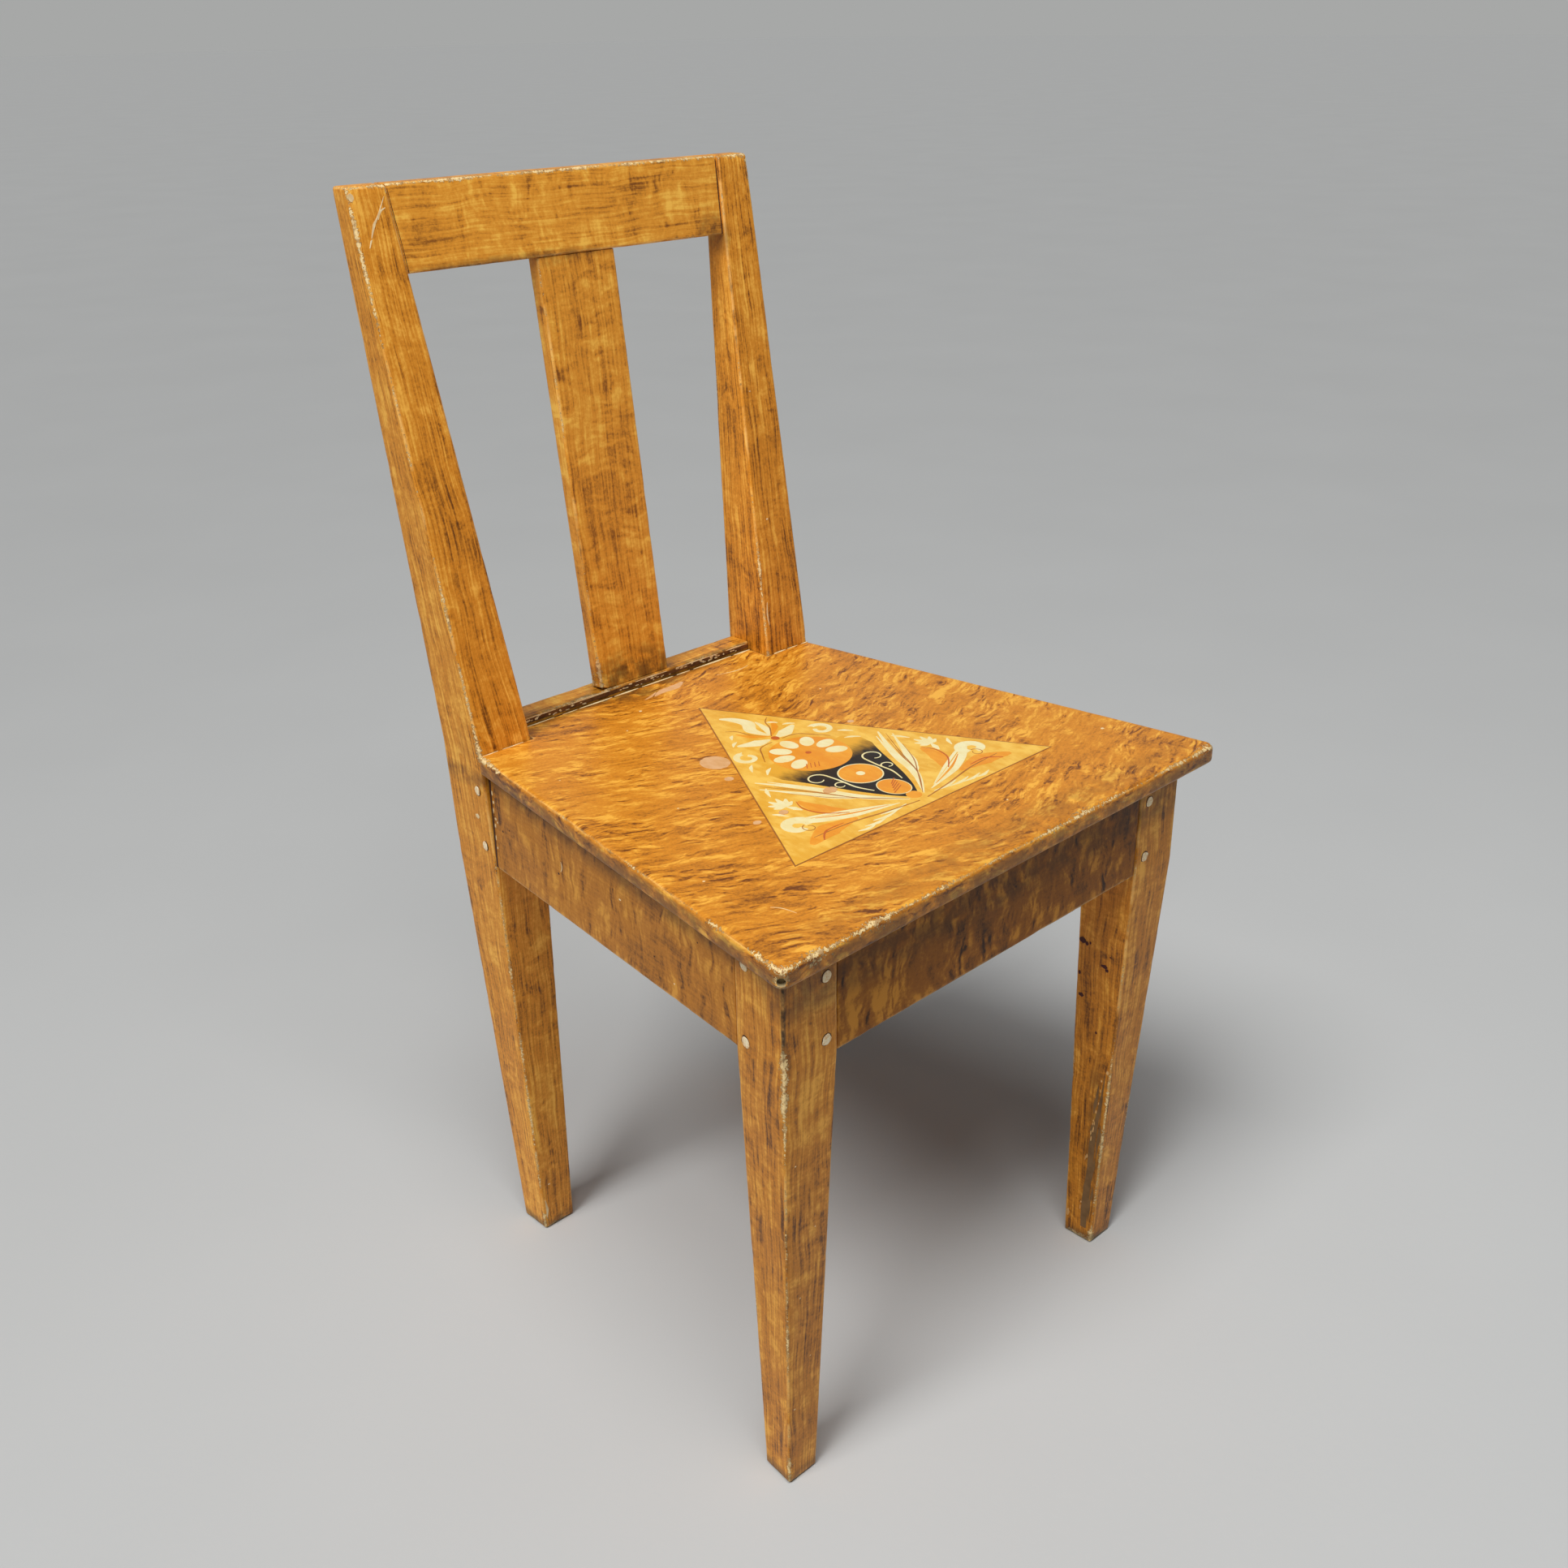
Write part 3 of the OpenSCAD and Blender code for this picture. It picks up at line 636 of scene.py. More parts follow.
def bare_wood(name, light, dark, axis):
    """Unpainted wood with its grain along an axis of the chair."""
    s = Surface(name)
    place = s.place()
    scale = [260, 260, 260]
    scale[axis] = 14
    lines = s.noise(s.scaled(s.warped(place, 9, 0.01), scale), 1.0, 5, 0.6)
    stain = s.noise(place, 18, 3, 0.6)
    wood = s.mix(s.step(lines, 0.3, 0.7), srgb(*light), srgb(*dark))
    wood = s.mix(s.step(stain, 0.48, 0.75, 0.0, 0.5), wood, OLD_WOOD)
    return s.finish(wood, 0.75, s.bump(lines, 0.2, 0.6)), "bare_wood"


def end_grain():
    """The pegs' ends: pale filler and end grain with pores."""
    s = Surface("peg_wood")
    place = s.place()
    pores = s.noise(place, 1500, 2, 0.5)
    patches = s.noise(place, 420, 3, 0.6)
    wood = s.mix(s.step(patches, 0.4, 0.7), srgb(255, 238, 200), srgb(238, 192, 134))
    wood = s.mix(s.step(pores, 0.6, 0.72, 0.0, 0.6), wood, OLD_WOOD)
    return s.finish(wood, 0.75, s.bump(patches, 0.15, 0.5)), "peg_wood"


def rusted_steel():
    s = Surface("screw_steel")
    rust = s.step(s.noise(s.place(), 500, 4, 0.65), 0.42, 0.6)
    colour = s.mix(rust, srgb(96, 90, 84), srgb(104, 58, 32))
    s.feed(s.shader, [("Metallic", s.step(rust, 0.0, 1.0, 0.8, 0.0))])
    return s.finish(colour, s.blend(rust, 0.45, 0.85), s.bump(rust, 0.1, 0.5)), "screw_steel"


SEAT_PAINT = grained_paint(
    "seat_paint", "seat_paint", ((250, 184, 68), (216, 137, 34), (114, 59, 10)),
    fibre=0.25, mottle=0.62, figure=2.1, scale=(50, 118), shift=(0.12, 0.35))
FRAME_PAINT = grained_paint(
    "frame_paint", "frame_paint", ((246, 178, 68), (204, 128, 28), (88, 46, 6)),
    fibre=1.05, mottle=0.45, figure=0.9, scale=(60, 40), shift=(0.35, 0.1), coat=0.08, gloss=0.25)
# The rear legs' paint is a lighter copy of the frame's: painted light on the raked stiles
STILE_PAINTED_LIGHT = grained_paint(
    "frame_paint", "stile_painted_light", ((255, 190, 78), (220, 141, 36), (104, 56, 8)),
    fibre=1.05, mottle=0.45, figure=0.8, scale=(60, 40), shift=(0.35, 0.1), coat=0.1, gloss=0.28)
RAIL_PAINT = grained_paint(
    "rail_paint", "rail_paint", ((224, 156, 56), (190, 120, 32), (84, 44, 6)),
    fibre=0.35, mottle=0.55, figure=1.8, scale=(72, 18), shift=(0.4, 0.06), coat=0.04, gloss=0.2)
# The front rail's paint is a darker copy of the side rails': painted shade under the board's overhang
FRONT_RAIL_PAINTED_SHADE = grained_paint(
    "rail_paint", "front_rail_painted_shade", ((204, 136, 40), (152, 90, 14), (58, 30, 4)),
    fibre=0.2, mottle=0.8, figure=2.4, scale=(66, 24), shift=(0.4, 0.08), coat=0.03, gloss=0.15)
# The back's paint is lighter than the frame's: painted light on the raked back
BACK_PAINTED_LIGHT = grained_paint(
    "back_paint", "back_paint", ((255, 197, 82), (228, 151, 44), (126, 70, 14)),
    fibre=0.85, mottle=0.5, figure=1.2, scale=(66, 22), shift=(0.4, 0.1))
PEG_WOOD = end_grain()
# The corner hole's bore is painted pale: painted light inside the deep, shaded hole
OLD_HOLE_PAINTED_LIGHT = plain_paint("seat_paint", "old_hole_painted_light", (168, 150, 112), (112, 96, 66), 0.8, 0.8)
PEG_GAP = plain_paint("frame_paint", "peg_gap", (88, 54, 24), (50, 32, 16), rough=0.8)
# Dark brown for nail holes and joints, and for a painted shadow line
DARK_NICK_AND_SHADOW = plain_paint("rail_paint", "nick_and_shadow", (70, 36, 22), (40, 24, 16), rough=0.7)
CREAM_CHIP = plain_paint("back_paint", "scratch", (250, 230, 184), (218, 176, 116), 0.9, 0.6)
CLEAT_WOOD = bare_wood("cleat_wood", (196, 160, 110), (150, 112, 68), 1)
CROSS_CLEAT_WOOD = bare_wood("cross_cleat_wood", (190, 152, 104), (144, 106, 64), 0)
STEEL = rusted_steel()


# ---- The frame's wooden pieces ----

def leg(node, knees, radius, end_radius, top_bare, paint):
    """A leg through its sections at the foot, the knees and the top."""
    low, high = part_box(node)
    quads = [level_quad(node, z) for z in (low.z + TINY, *knees, high.z - TINY)]
    wooden_bar(node, quads, radius, end_radius, (True, top_bare), paint)


def make_legs():
    for side in ("left", "right"):
        leg("front_leg_" + side, (RAIL_BOTTOM - 2 * MM, RAIL_BOTTOM + TINY),
            1.8, (2.5, 0.5), False, FRAME_PAINT)
        leg("rear_leg_" + side, (RAIL_BOTTOM, SEAT_TOP), 2.0, (2.5, 2.5), True, STILE_PAINTED_LIGHT)


def make_rails():
    for node, quads, radius, end_radius, paint in (
            ("front_seat_rail", cross_quads, 1.0, (0.6, 0.9), FRONT_RAIL_PAINTED_SHADE),
            ("rear_seat_rail", cross_quads, 1.5, (0.6, 0.6), BACK_PAINTED_LIGHT),
            ("side_seat_rail_left", side_quads, 1.0, (0.4, 1.2), RAIL_PAINT),
            ("side_seat_rail_right", side_quads, 1.0, (0.4, 1.2), RAIL_PAINT),
            ("top_rail", cross_quads, 1.8, (0.8, 0.7), BACK_PAINTED_LIGHT),
            ("back_splat", splat_quads, 1.6, (0.3, 0.3), BACK_PAINTED_LIGHT)):
        wooden_bar(node, quads(node), radius, end_radius, (False, False), paint)


# ---- The seat board ----

SEAT_ROUND = 4 * MM       # rounding of the front and side edges
BACK_ROUND = 0.8 * MM     # rounding of the edges at the legs and the rear rail
CORNER_R = 7 * MM         # radius of the front corners, seen from above
CORNER_STEPS = 6          # parts of a corner's arc
OUTLINE_STEP = 3 * MM     # spacing of the points along the sides
GRID = 5 * MM             # spacing of the points on the top and the underside
HOLE_R = 2.7 * MM         # radius of the hole in the left front corner
HOLE_ENDS = (-3 * MM, 5 * MM)


def seat_corners():
    """The board's outline seen from above, from the right front corner backwards.

    Each entry is a sharp corner, its radius, and the rounding of the side after it.
    """
    points = vertices("seat_board")
    arc_end = max((p for p in points if p.x > 0 and p.y < SEAT_LOW.y + 15 * MM),
                  key=lambda p: (round(p.y, 5), p.x))
    before_legs = [p for p in points if p.x > 0 and p.y < STILE_FRONT + TINY]
    notch = max(before_legs, key=lambda p: (round(p.y, 4), p.x))
    tongue = max(p.x for p in points if p.y > STILE_FRONT + 5 * MM)
    slope = (notch.x - arc_end.x) / (notch.y - arc_end.y)
    front_x = arc_end.x + slope * (SEAT_LOW.y - arc_end.y)
    right = [
        ((front_x, SEAT_LOW.y), CORNER_R, SEAT_ROUND),
        ((notch.x, notch.y), 1.5 * MM, BACK_ROUND),
        ((tongue, notch.y), 1.0 * MM, BACK_ROUND),
        ((tongue, SEAT_HIGH.y), 1.5 * MM, BACK_ROUND),
    ]
    left = []
    for i in range(len(right) - 1, -1, -1):
        (x, y), r, _ = right[i]
        left.append(((-x, y), r, right[i - 1][2] if i else SEAT_ROUND))
    return right + left


def side_after(corners, i):
    """The side that follows a corner: its start, its direction and its parts."""
    start, end = (Vector(corners[k % len(corners)][0]) for k in (i, i + 1))
    steps = max(2, round((end - start).length / OUTLINE_STEP))
    return start, (end - start).normalized(), steps


def crossing(a, u, b, v):
    """Where the line through a along u meets the line through b along v."""
    t = ((b - a).x * v.y - (b - a).y * v.x) / (u.x * v.y - u.y * v.x)
    return a + u * t


def seat_ring(corners, share, extra=0.0):
    """The outline, each side moved in by a share of its rounding and by extra."""
    count = len(corners)
    lines = []
    for i in range(count):
        start, u, _ = side_after(corners, i)
        inward = Vector((-u.y, u.x))
        lines.append((start + inward * (share * corners[i][2] + extra), u))
    arcs = []
    for i, (_, radius, _) in enumerate(corners):
        tip = crossing(*lines[i - 1], *lines[i])
        back, ahead = -lines[i - 1][1], lines[i][1]
        half_turn = abs(lines[i - 1][1].angle_signed(ahead)) / 2
        r = radius - (share * SEAT_ROUND + extra if radius > 5 * MM else 0)
        r = max(r, 0.3 * MM)
        cut = r * math.tan(half_turn)
        centre = tip + (back + ahead).normalized() * (r / math.cos(half_turn))
        start, end = tip + back * cut - centre, tip + ahead * cut - centre
        part = -start.angle_signed(end) / CORNER_STEPS
        arcs.append([centre + Matrix.Rotation(part * k, 2) @ start
                     for k in range(CORNER_STEPS + 1)])
    points = []
    for i in range(count):
        points += arcs[i]
        start, end = arcs[i][-1], arcs[(i + 1) % count][0]
        steps = side_after(corners, i)[2]
        points += [start.lerp(end, k / steps) for k in range(1, steps)]
    return points


def side_roundings(corners):
    """The rounding at each point of the outline, from the side that it is on."""
    values = []
    for i in range(len(corners)):
        before, after = corners[i - 1][2], corners[i][2]
        values += [before + (after - before) * k / CORNER_STEPS for k in range(CORNER_STEPS + 1)]
        values += [after] * (side_after(corners, i)[2] - 1)
    return values


def inside(point, outline):
    """True if a point is inside a closed outline."""
    hit = False
    for a, b in zip(outline, outline[1:] + outline[:1]):
        if (a.y > point.y) != (b.y > point.y):
            if point.x < (b.x - a.x) * (point.y - a.y) / (b.y - a.y) + a.x:
                hit = not hit
    return hit


def fill(points, edges, faces, first, size, z, up):
    """Fills a rim with triangles over a grid of points at one height."""
    outline = [p.xy for p in points[first:first + size]]
    low_x, high_x = min(p.x for p in outline), max(p.x for p in outline)
    low_y, high_y = min(p.y for p in outline), max(p.y for p in outline)
    inner = []
    for i in range(1, int((high_x - low_x) / GRID)):
        for j in range(1, int((high_y - low_y) / GRID)):
            p = Vector((low_x + i * GRID, low_y + j * GRID))
            if inside(p, outline) and min((p - q).length for q in outline) > 0.6 * GRID:
                inner.append(p)
    rim_edges = [(i, (i + 1) % size) for i in range(size)]
    coords, _, triangles, origins, _, _ = delaunay_2d_cdt(outline + inner, rim_edges, [], 1, TINY)
    index = []
    for coord, origin in zip(coords, origins):
        if origin and origin[0] < size:
            index.append(first + origin[0])
        else:
            index.append(len(points))
            points.append(Vector((coord.x, coord.y, z)))
            edges.append(20 * MM)
    for triangle in triangles:
        a, b, c = (index[i] for i in triangle)
        clockwise = (points[b] - points[a]).cross(points[c] - points[a]).z < 0
        faces.append((a, c, b) if clockwise == up else (a, b, c))


def seat_levels():
    """From the top's rim, round the edge, to the underside's rim.

    Each is a share of the rounding, an inset, a height, and a drop in roundings.
    """
    levels = [(1.0, inset * MM, SEAT_TOP, 0.0) for inset in (7, 3, 1)]
    levels += [(p, 0.0, SEAT_TOP, q) for p, q in quarter(6)]
    levels.append((0.0, 0.0, (SEAT_TOP + SEAT_BOTTOM) / 2, 0.0))
    levels += [(p, 0.0, SEAT_BOTTOM, -q) for p, q in reversed(quarter(6))]
    return levels + [(1.0, inset * MM, SEAT_BOTTOM, 0.0) for inset in (1, 5)]


def seat_grain(points, faces, outline, band):
    """The grain at each face's corners. The first band points are the board's rim."""
    size = len(outline)
    along = distances_round(outline)
    grain = []
    for face in faces:
        heights = [points[v].z for v in face]
        on_side = max(face) < band and max(heights) < SEAT_TOP - 0.6 * MM
        on_side = on_side and min(heights) > SEAT_BOTTOM
        wraps = any(v % size == size - 1 for v in face)
        for v in face:
            p = points[v]
            if on_side:
                # Round the edge, the grain runs along it
                j = size if wraps and v % size == 0 else v % size
                grain.append((along[j], p.z, 3.0))
                continue
            # The curls slope forward from the middle towards each side
            lie = 0.38 * math.hypot(p.x, 35 * MM)
            grain.append((p.x, p.y - lie, p.z))
    return grain


def make_seat():
    corners = seat_corners()
    levels = seat_levels()
    outline = seat_ring(corners, 0.0)
    roundings = side_roundings(corners)
    size = len(outline)
    points, edges = [], []
    for share, extra, z, drop in levels:
        for p, rim, rounding in zip(seat_ring(corners, share, extra), outline, roundings):
            height = z - drop * rounding
            points.append(Vector((p.x, p.y, height)))
            from_rim = min(abs(height - SEAT_TOP), abs(height - SEAT_BOTTOM))
            edges.append(max((p - rim).length, from_rim))
    bore, turn = corner_hole()
    way = turn @ Vector((0, 0, 1))
    for i, p in enumerate(points):
        off = p - bore
        if p.x < 0 and off.length < 12 * MM:
            from_hole = (off - way * off.dot(way)).length - HOLE_R
            edges[i] = min(edges[i], max(0.8 * MM, from_hole))
    # The levels run downwards, so the faces turn the other way
    faces = [(b, a, d, c) for a, b, c, d in tube_faces(len(levels), size)[:-2]]
    band = size * len(levels)
    fill(points, edges, faces, 0, size, SEAT_TOP, up=True)
    fill(points, edges, faces, band - size, size, SEAT_BOTTOM, up=False)
    grain = seat_grain(points, faces, outline, band)
    darkening = [0.0] * len(points)
    for i in range(band):
        # The board's edge is darker below its rounding, and flecked along the front
        below = (SEAT_TOP - points[i].z) / SEAT_ROUND
        darkening[i] = 0.62 * min(1.0, max(0.0, below - 0.3))
        if points[i].y < SEAT_LOW.y + 6 * MM:
            edges[i] = min(edges[i], 3.0 * MM)
    board = build("seat_board_wood", points, faces, grain, edges, darkening)
    finish_piece(board, SEAT_PAINT, "seat_board")
    bore_corner(board, bore, turn)


def corner_hole():
    """Where the corner hole opens, and the turn from +Z to its way in."""
    near = [p for p in vertices("seat_board")
            if p.x < 0 and p.y < SEAT_LOW.y + 15 * MM
            and SEAT_BOTTOM + 1 * MM < p.z < SEAT_TOP - 4.5 * MM]
    centre = sum(near, Vector()) / len(near)
    way = Vector((1, 1, 0)).normalized()
    mouth = centre - way * 30 * MM
    outer = min(near, key=lambda p: (p - mouth).length)
    return Vector((outer.x, outer.y, centre.z)), way.to_track_quat("Z", "Y")


def bore_corner(board, bore, turn):
    """The small hole in the edge of the board's left front corner."""
    around = 20
    points = []
    for depth in HOLE_ENDS:
        for k in range(around):
            a = 2 * math.pi * k / around
            off = Vector((HOLE_R * math.cos(a), HOLE_R * math.sin(a), depth))
            points.append(bore + turn @ off)
    tool = add_mesh("corner_hole", points, tube_faces(2, around))
    tool.data.materials.append(OLD_HOLE_PAINTED_LIGHT[0])
    cut = board.modifiers.new("corner_hole", "BOOLEAN")
    cut.operation = "DIFFERENCE"
    cut.solver = "EXACT"
    cut.material_mode = "TRANSFER"
    cut.object = tool
    bpy.context.view_layer.update()
    shape = board.evaluated_get(bpy.context.evaluated_depsgraph_get())
    cut_mesh = bpy.data.meshes.new_from_object(shape)
    board.modifiers.clear()
    board.data = cut_mesh
    bpy.data.objects.remove(tool)


# ---- Thin painted shapes: the ornament, spots and scratches ----

SUNK = 0.5 * MM      # how far a painted shape reaches into the surface
LAYER = 0.04 * MM    # height of one coat over the next
HAIR = 0.0005 * MM   # height of each shape of a coat over the one before
CURVE_STEPS = 8      # parts of a curve between two knots


class Coat:
    """One colour of paint, laid as thin closed shapes on a flat face.

    origin, right and ahead place the shapes' millimetres on the face.
    """

    def __init__(self, origin, right, ahead):
        self.origin = Vector(origin)
        self.right = Vector(right).normalized()
        self.ahead = Vector(ahead).normalized()
        self.up = self.right.cross(self.ahead)
        self.points = []
        self.faces = []
        self.count = 0

    def strip(self, spine, widths, layer):
        """A closed shape round a spine of (x, y) points with half widths."""
        first = len(self.points)
        self.count += 1
        lift = LAYER * layer + HAIR * self.count
        padded = [Vector(p) for p in (spine[0], *spine, spine[-1])]
        for before, here, after, width in zip(padded, padded[1:], padded[2:], widths):
            along = (after - before).normalized()
            side = Vector((-along.y, along.x)) * width
            for sign, height in ((1, lift), (-1, lift), (-1, -SUNK), (1, -SUNK)):
                u, v = (here + side * sign) * MM
                self.points.append(
                    self.origin + self.right * u + self.ahead * v + self.up * height)
        self.faces += tube_faces(len(spine), 4, first)

    def disc(self, x, y, rx, ry, layer, ragged=0.0, turn=0.0):
        """A disc or an oval, with rx along the direction of turn."""
        steps = 16
        spine, widths = [], []
        for k in range(steps + 1):
            a = math.pi * k / steps
            off = -rx * math.cos(a)
            spine.append((x + off * math.cos(turn), y + off * math.sin(turn)))
            uneven = 1 + random.uniform(-ragged, ragged)
            widths.append(max(ry * math.sin(a) * uneven, 0.06 * ry))
        self.strip(spine, widths, layer)

    def discs(self, places, layer, ragged=0.3, flat=0.8):
        """Small marks, each x, y, rx and ry. A missing ry is flat times rx."""
        for x, y, rx, *ry in places:
            self.disc(x, y, rx, ry[0] if ry else flat * rx, layer, ragged)

    def curve(self, knots, widths, layer):
        """A shape along a smooth curve through the knots."""
        spine, halves = [], []
        padded = [knots[0], *knots, knots[-1]]
        for i in range(len(knots) - 1):
            a, b, c, d = (Vector(p) for p in padded[i:i + 4])
            for k in range(CURVE_STEPS):
                t = k / CURVE_STEPS
                p = (2 * b + (c - a) * t + (2 * a - 5 * b + 4 * c - d) * t * t
                     + (3 * b - a - 3 * c + d) * t ** 3) / 2
                spine.append((p.x, p.y))
                halves.append(widths[i] + (widths[i + 1] - widths[i]) * t)
        self.strip([*spine, knots[-1]], [*halves, widths[-1]], layer)

    def dashes(self, rows, y, bow, end_half, layer):
        """Strokes along X, each start, end and half width, bowed in the middle."""
        for start, end, half in rows:
            self.curve([(start, y), ((start + end) / 2, y + bow), (end, y)],
                       [end_half, half, end_half], layer)

    def leaf(self, knots, width, layer):
        """A leaf or petal: pointed at its root, round at its tip."""
        shares = [i / (len(knots) - 1) for i in range(len(knots))]
        widths = [width * math.sin(math.pi * (0.04 + 0.9 * t ** 0.8)) for t in shares]
        self.curve(knots, widths, layer)

    def scroll(self, x, y, radius, start, turns, width, layer):
        """A curl that winds in from radius to half of it. start is in degrees."""
        steps = max(8, int(abs(turns) * 22))
        spine, widths = [], []
        for k in range(steps + 1):
            t = k / steps
            a = math.radians(start) + turns * 2 * math.pi * t
            r = radius * (1 - 0.5 * t)
            spine.append((x + r * math.cos(a), y + r * math.sin(a)))
            widths.append(width * (1 - 0.4 * t))
        self.strip(spine, widths, layer)

    def finish(self, name, material):
        finish_piece(add_mesh(name, self.points, self.faces), material)


def seat_coat(x=0.0):
    """A coat on the board's top, from x mm right of its middle."""
    return Coat((x * MM, 0, SEAT_TOP), (1, 0, 0), (0, 1, 0))


MIDDLE = 2.4            # mm, the ornament's middle line, right of the chair's
TIP = (1.5, 88.9)       # mm from the middle line: the triangle's three corners
RIGHT_TIP = (126.9, -144.8)
LEFT_TIP = (-127.0, -143.4)


def triangle(coat, grow, layer):
    """The ground of the ornament, from its tip to its base."""
    base = (LEFT_TIP[1] + RIGHT_TIP[1]) / 2
    top = TIP[1] + 2.1 * grow
    slope = (RIGHT_TIP[0] - LEFT_TIP[0]) / 2 / (TIP[1] - base)
    rows = 12
    spine, widths = [], []
    for k in range(rows + 1):
        t = k / rows
        y = top + (base - grow - top) * t
        spine.append((TIP[0] * (1 - t), y))
        widths.append(max((top - y) * slope, 0.3))
    coat.strip(spine, widths, layer)


def ornament_flower(black, cream, orange, red, brown):
    """The discs on the black ground, and the plume above them."""
    black.curve([(0, -24), (0, -36), (0, -48), (0, -62), (0, -80), (0, -100), (0, -118), (0, -131)],
                [38, 46, 45, 38, 30.5, 21.5, 11.5, 0.8], 3)
    # The big disc, its petals and its heart
    orange.disc(0, -30, 30, 30, 5)
    for turn in (-27, 11, 50, 90, 129, 166, 205):
        a = math.radians(turn)
        cream.disc(20.5 * math.cos(a), -29 + 20.5 * math.sin(a), 8.2, 5.4, 6, 0.03, turn=a)
    red.disc(0, -28, 2.2, 2.2, 7)
    for k in range(4):
        red.curve([(-20 + 3 * k, -47 - k), (-15 + 3 * k, -41 - k)], [0.4, 0.3], 7)
    # The two smaller discs and the drop below them
    cream.disc(0, -79, 16.3, 16.3, 4)
    orange.disc(0, -79, 15.3, 15.3, 5)
    cream.disc(0, -79, 3.2, 3.2, 6)
    cream.disc(0.3, -110, 11.3, 13.2, 4)
    orange.disc(0.3, -110, 10.6, 12.5, 5)
    for k in range(5):
        red.curve([(-7 + 2.3 * k, -117 + 2.8 * k), (5 + 1.3 * k, -112 + 2.8 * k)], [0.5, 0.3], 7)
    orange.disc(0.3, -128, 5.5, 5.5, 4)
    # A plume on a red bud
    cream.leaf([(2, 14), (-1, 30), (6, 42), (3, 55), (-3, 63)], 5.2, 3)
    cream.leaf([(2, 14), (9, 26), (12, 40)], 3.0, 4)
    brown.curve([(2, 12), (-7, 24), (-10, 36), (-16, 42)], [0.4, 0.5, 0.5, 0.2], 4)
    brown.curve([(2, 12), (12, 24), (17, 34), (24, 40)], [0.4, 0.5, 0.5, 0.2], 5)
    orange.leaf([(2, 12), (-9, 22), (-14, 33)], 2.6, 4)
    orange.leaf([(2, 12), (16, 23), (23, 35)], 2.6, 4)
    red.disc(1.6, 7.5, 3.0, 3.4, 5)


def ornament_side(side, cream, orange, red, brown):
    """The leaves and scrolls of one half: side is 1 on the right and -1 on the left."""
    def at(*points):
        return [(side * x, y) for x, y in points]

    def strokes(rows, layer):
        # Each row: where a stroke starts, and the ways to its middle and its end
        for x, y, dx, dy, end_x, end_y in rows:
            cream.leaf(at((x, y), (x + dx, y + dy), (x + end_x, y + end_y)), 1.5, layer)

    # Petals and scrolls beside the bud
    cream.leaf(at((3, 8), (14, 10), (28, 16)), 5.6, 4)
    cream.scroll(side * 37, -4, 8.5, 90 + 10 * side, -0.9 * side, 2.6, 4)
    brown.curve(at((5, 4), (18, 2), (26, -8), (33, -18)), [0.3, 0.5, 0.5, 0.2], 4)
    # Thin curls on the black
    inward = 90 + 90 * side
    cream.scroll(side * 28, -65, 8.4, inward, -0.85 * side, 0.7, 6)
    cream.curve(at((19.6, -65), (18.6, -78), (18.4, -92), (14, -105)), [0.7, 0.7, 0.7, 0.4], 7)
    cream.scroll(side * 23.6, -83, 5.2, inward, -0.85 * side, 0.6, 8)
    # Feathery leaves that sweep up beside the black, with lines between them
    for tip, bend, width in (((62, -38), (42, -72), 3.1), ((55, -43), (38, -76), 1.7),
                             ((67, -48), (46, -80), 2.3), ((60, -60), (44, -86), 2.4),
                             ((49, -53), (35, -82), 1.5), ((54, -70), (42, -92), 1.8),
                             ((46, -80), (36, -99), 1.5)):
        cream.leaf(at((7, -131), (26, -107), bend, tip), width, 4)
    for tip, bend in (((64, -44), (46, -75)), ((57, -52), (42, -80)), ((58, -66), (44, -89))):
        brown.curve(at((7, -130), (29, -106), bend, tip), [0.2, 0.4, 0.4, 0.1], 5)
    # Small fans near the edges
    for turn, reach in ((20, 9), (48, 12), (76, 14), (104, 14), (132, 12), (160, 9), (250, 12)):
        dx, dy = reach * math.cos(math.radians(turn)), reach * math.sin(math.radians(turn))
        cream.leaf(at((73, -80), (73 + dx / 2, -80 + dy / 2), (73 + dx, -80 + dy)), 2.4, 4)
    # Orange buds with a red line
    orange.leaf(at((48, -113), (59, -99), (62, -80)), 6.6, 4)
    red.curve(at((50, -116), (63, -104), (67, -90), (63, -79)), [0.4, 0.6, 0.6, 0.2], 5)
    # Big scrolls in the lower corners, on stems of three strokes
    for root, lift, width in ((16, 0, 2.6), (20, 4, 2.0), (22, 8, 1.4)):
        cream.leaf(at((root, -130 + 0.4 * lift), (50, -121 + lift), (72, -111 + lift),
                      (87, -101 + 0.5 * lift)), width, 4)
    orange.curve(at((24, -127), (52, -117), (72, -106)), [0.3, 1.0, 0.3], 5)
    cream.scroll(side * 88, -106, 10.0, 90 + 110 * side, -0.85 * side, 4.8, 4)
    brown.scroll(side * 84, -113, 5.2, 90, -0.95 * side, 0.4, 6)
    brown.curve(at((4, -137), (30, -133), (60, -127), (92, -125)), [0.4, 0.6, 0.6, 0.3], 6)
    # Orange leaves along the base, and small strokes under them
    orange.leaf(at((52, -125), (78, -124), (100, -131)), 8.6, 5)
    red.curve(at((64, -124), (80, -124), (90, -132)), [0.3, 0.8, 0.5], 6)
    strokes([(x, y, 0.5 * length, -1.2, length, 1)
             for x, y, length in ((14, -134, 24), (26, -136.5, 22), (38, -138.5, 20),
                                  (50, -140, 16))], 5)
    # Loose strokes between the flower and the edges
    strokes([(x, y, 0.5 * dx, 0.5 * dy + 1.2, dx, dy)
             for x, y, dx, dy in ((23, 22, 8, -5), (17, 33, 6, -6), (33, 6, 8, -6),
                                  (43, -15, 8, -9), (37, -28, 10, -7), (70, -62, -7, 12),
                                  (82, -92, 6, 10))], 5)


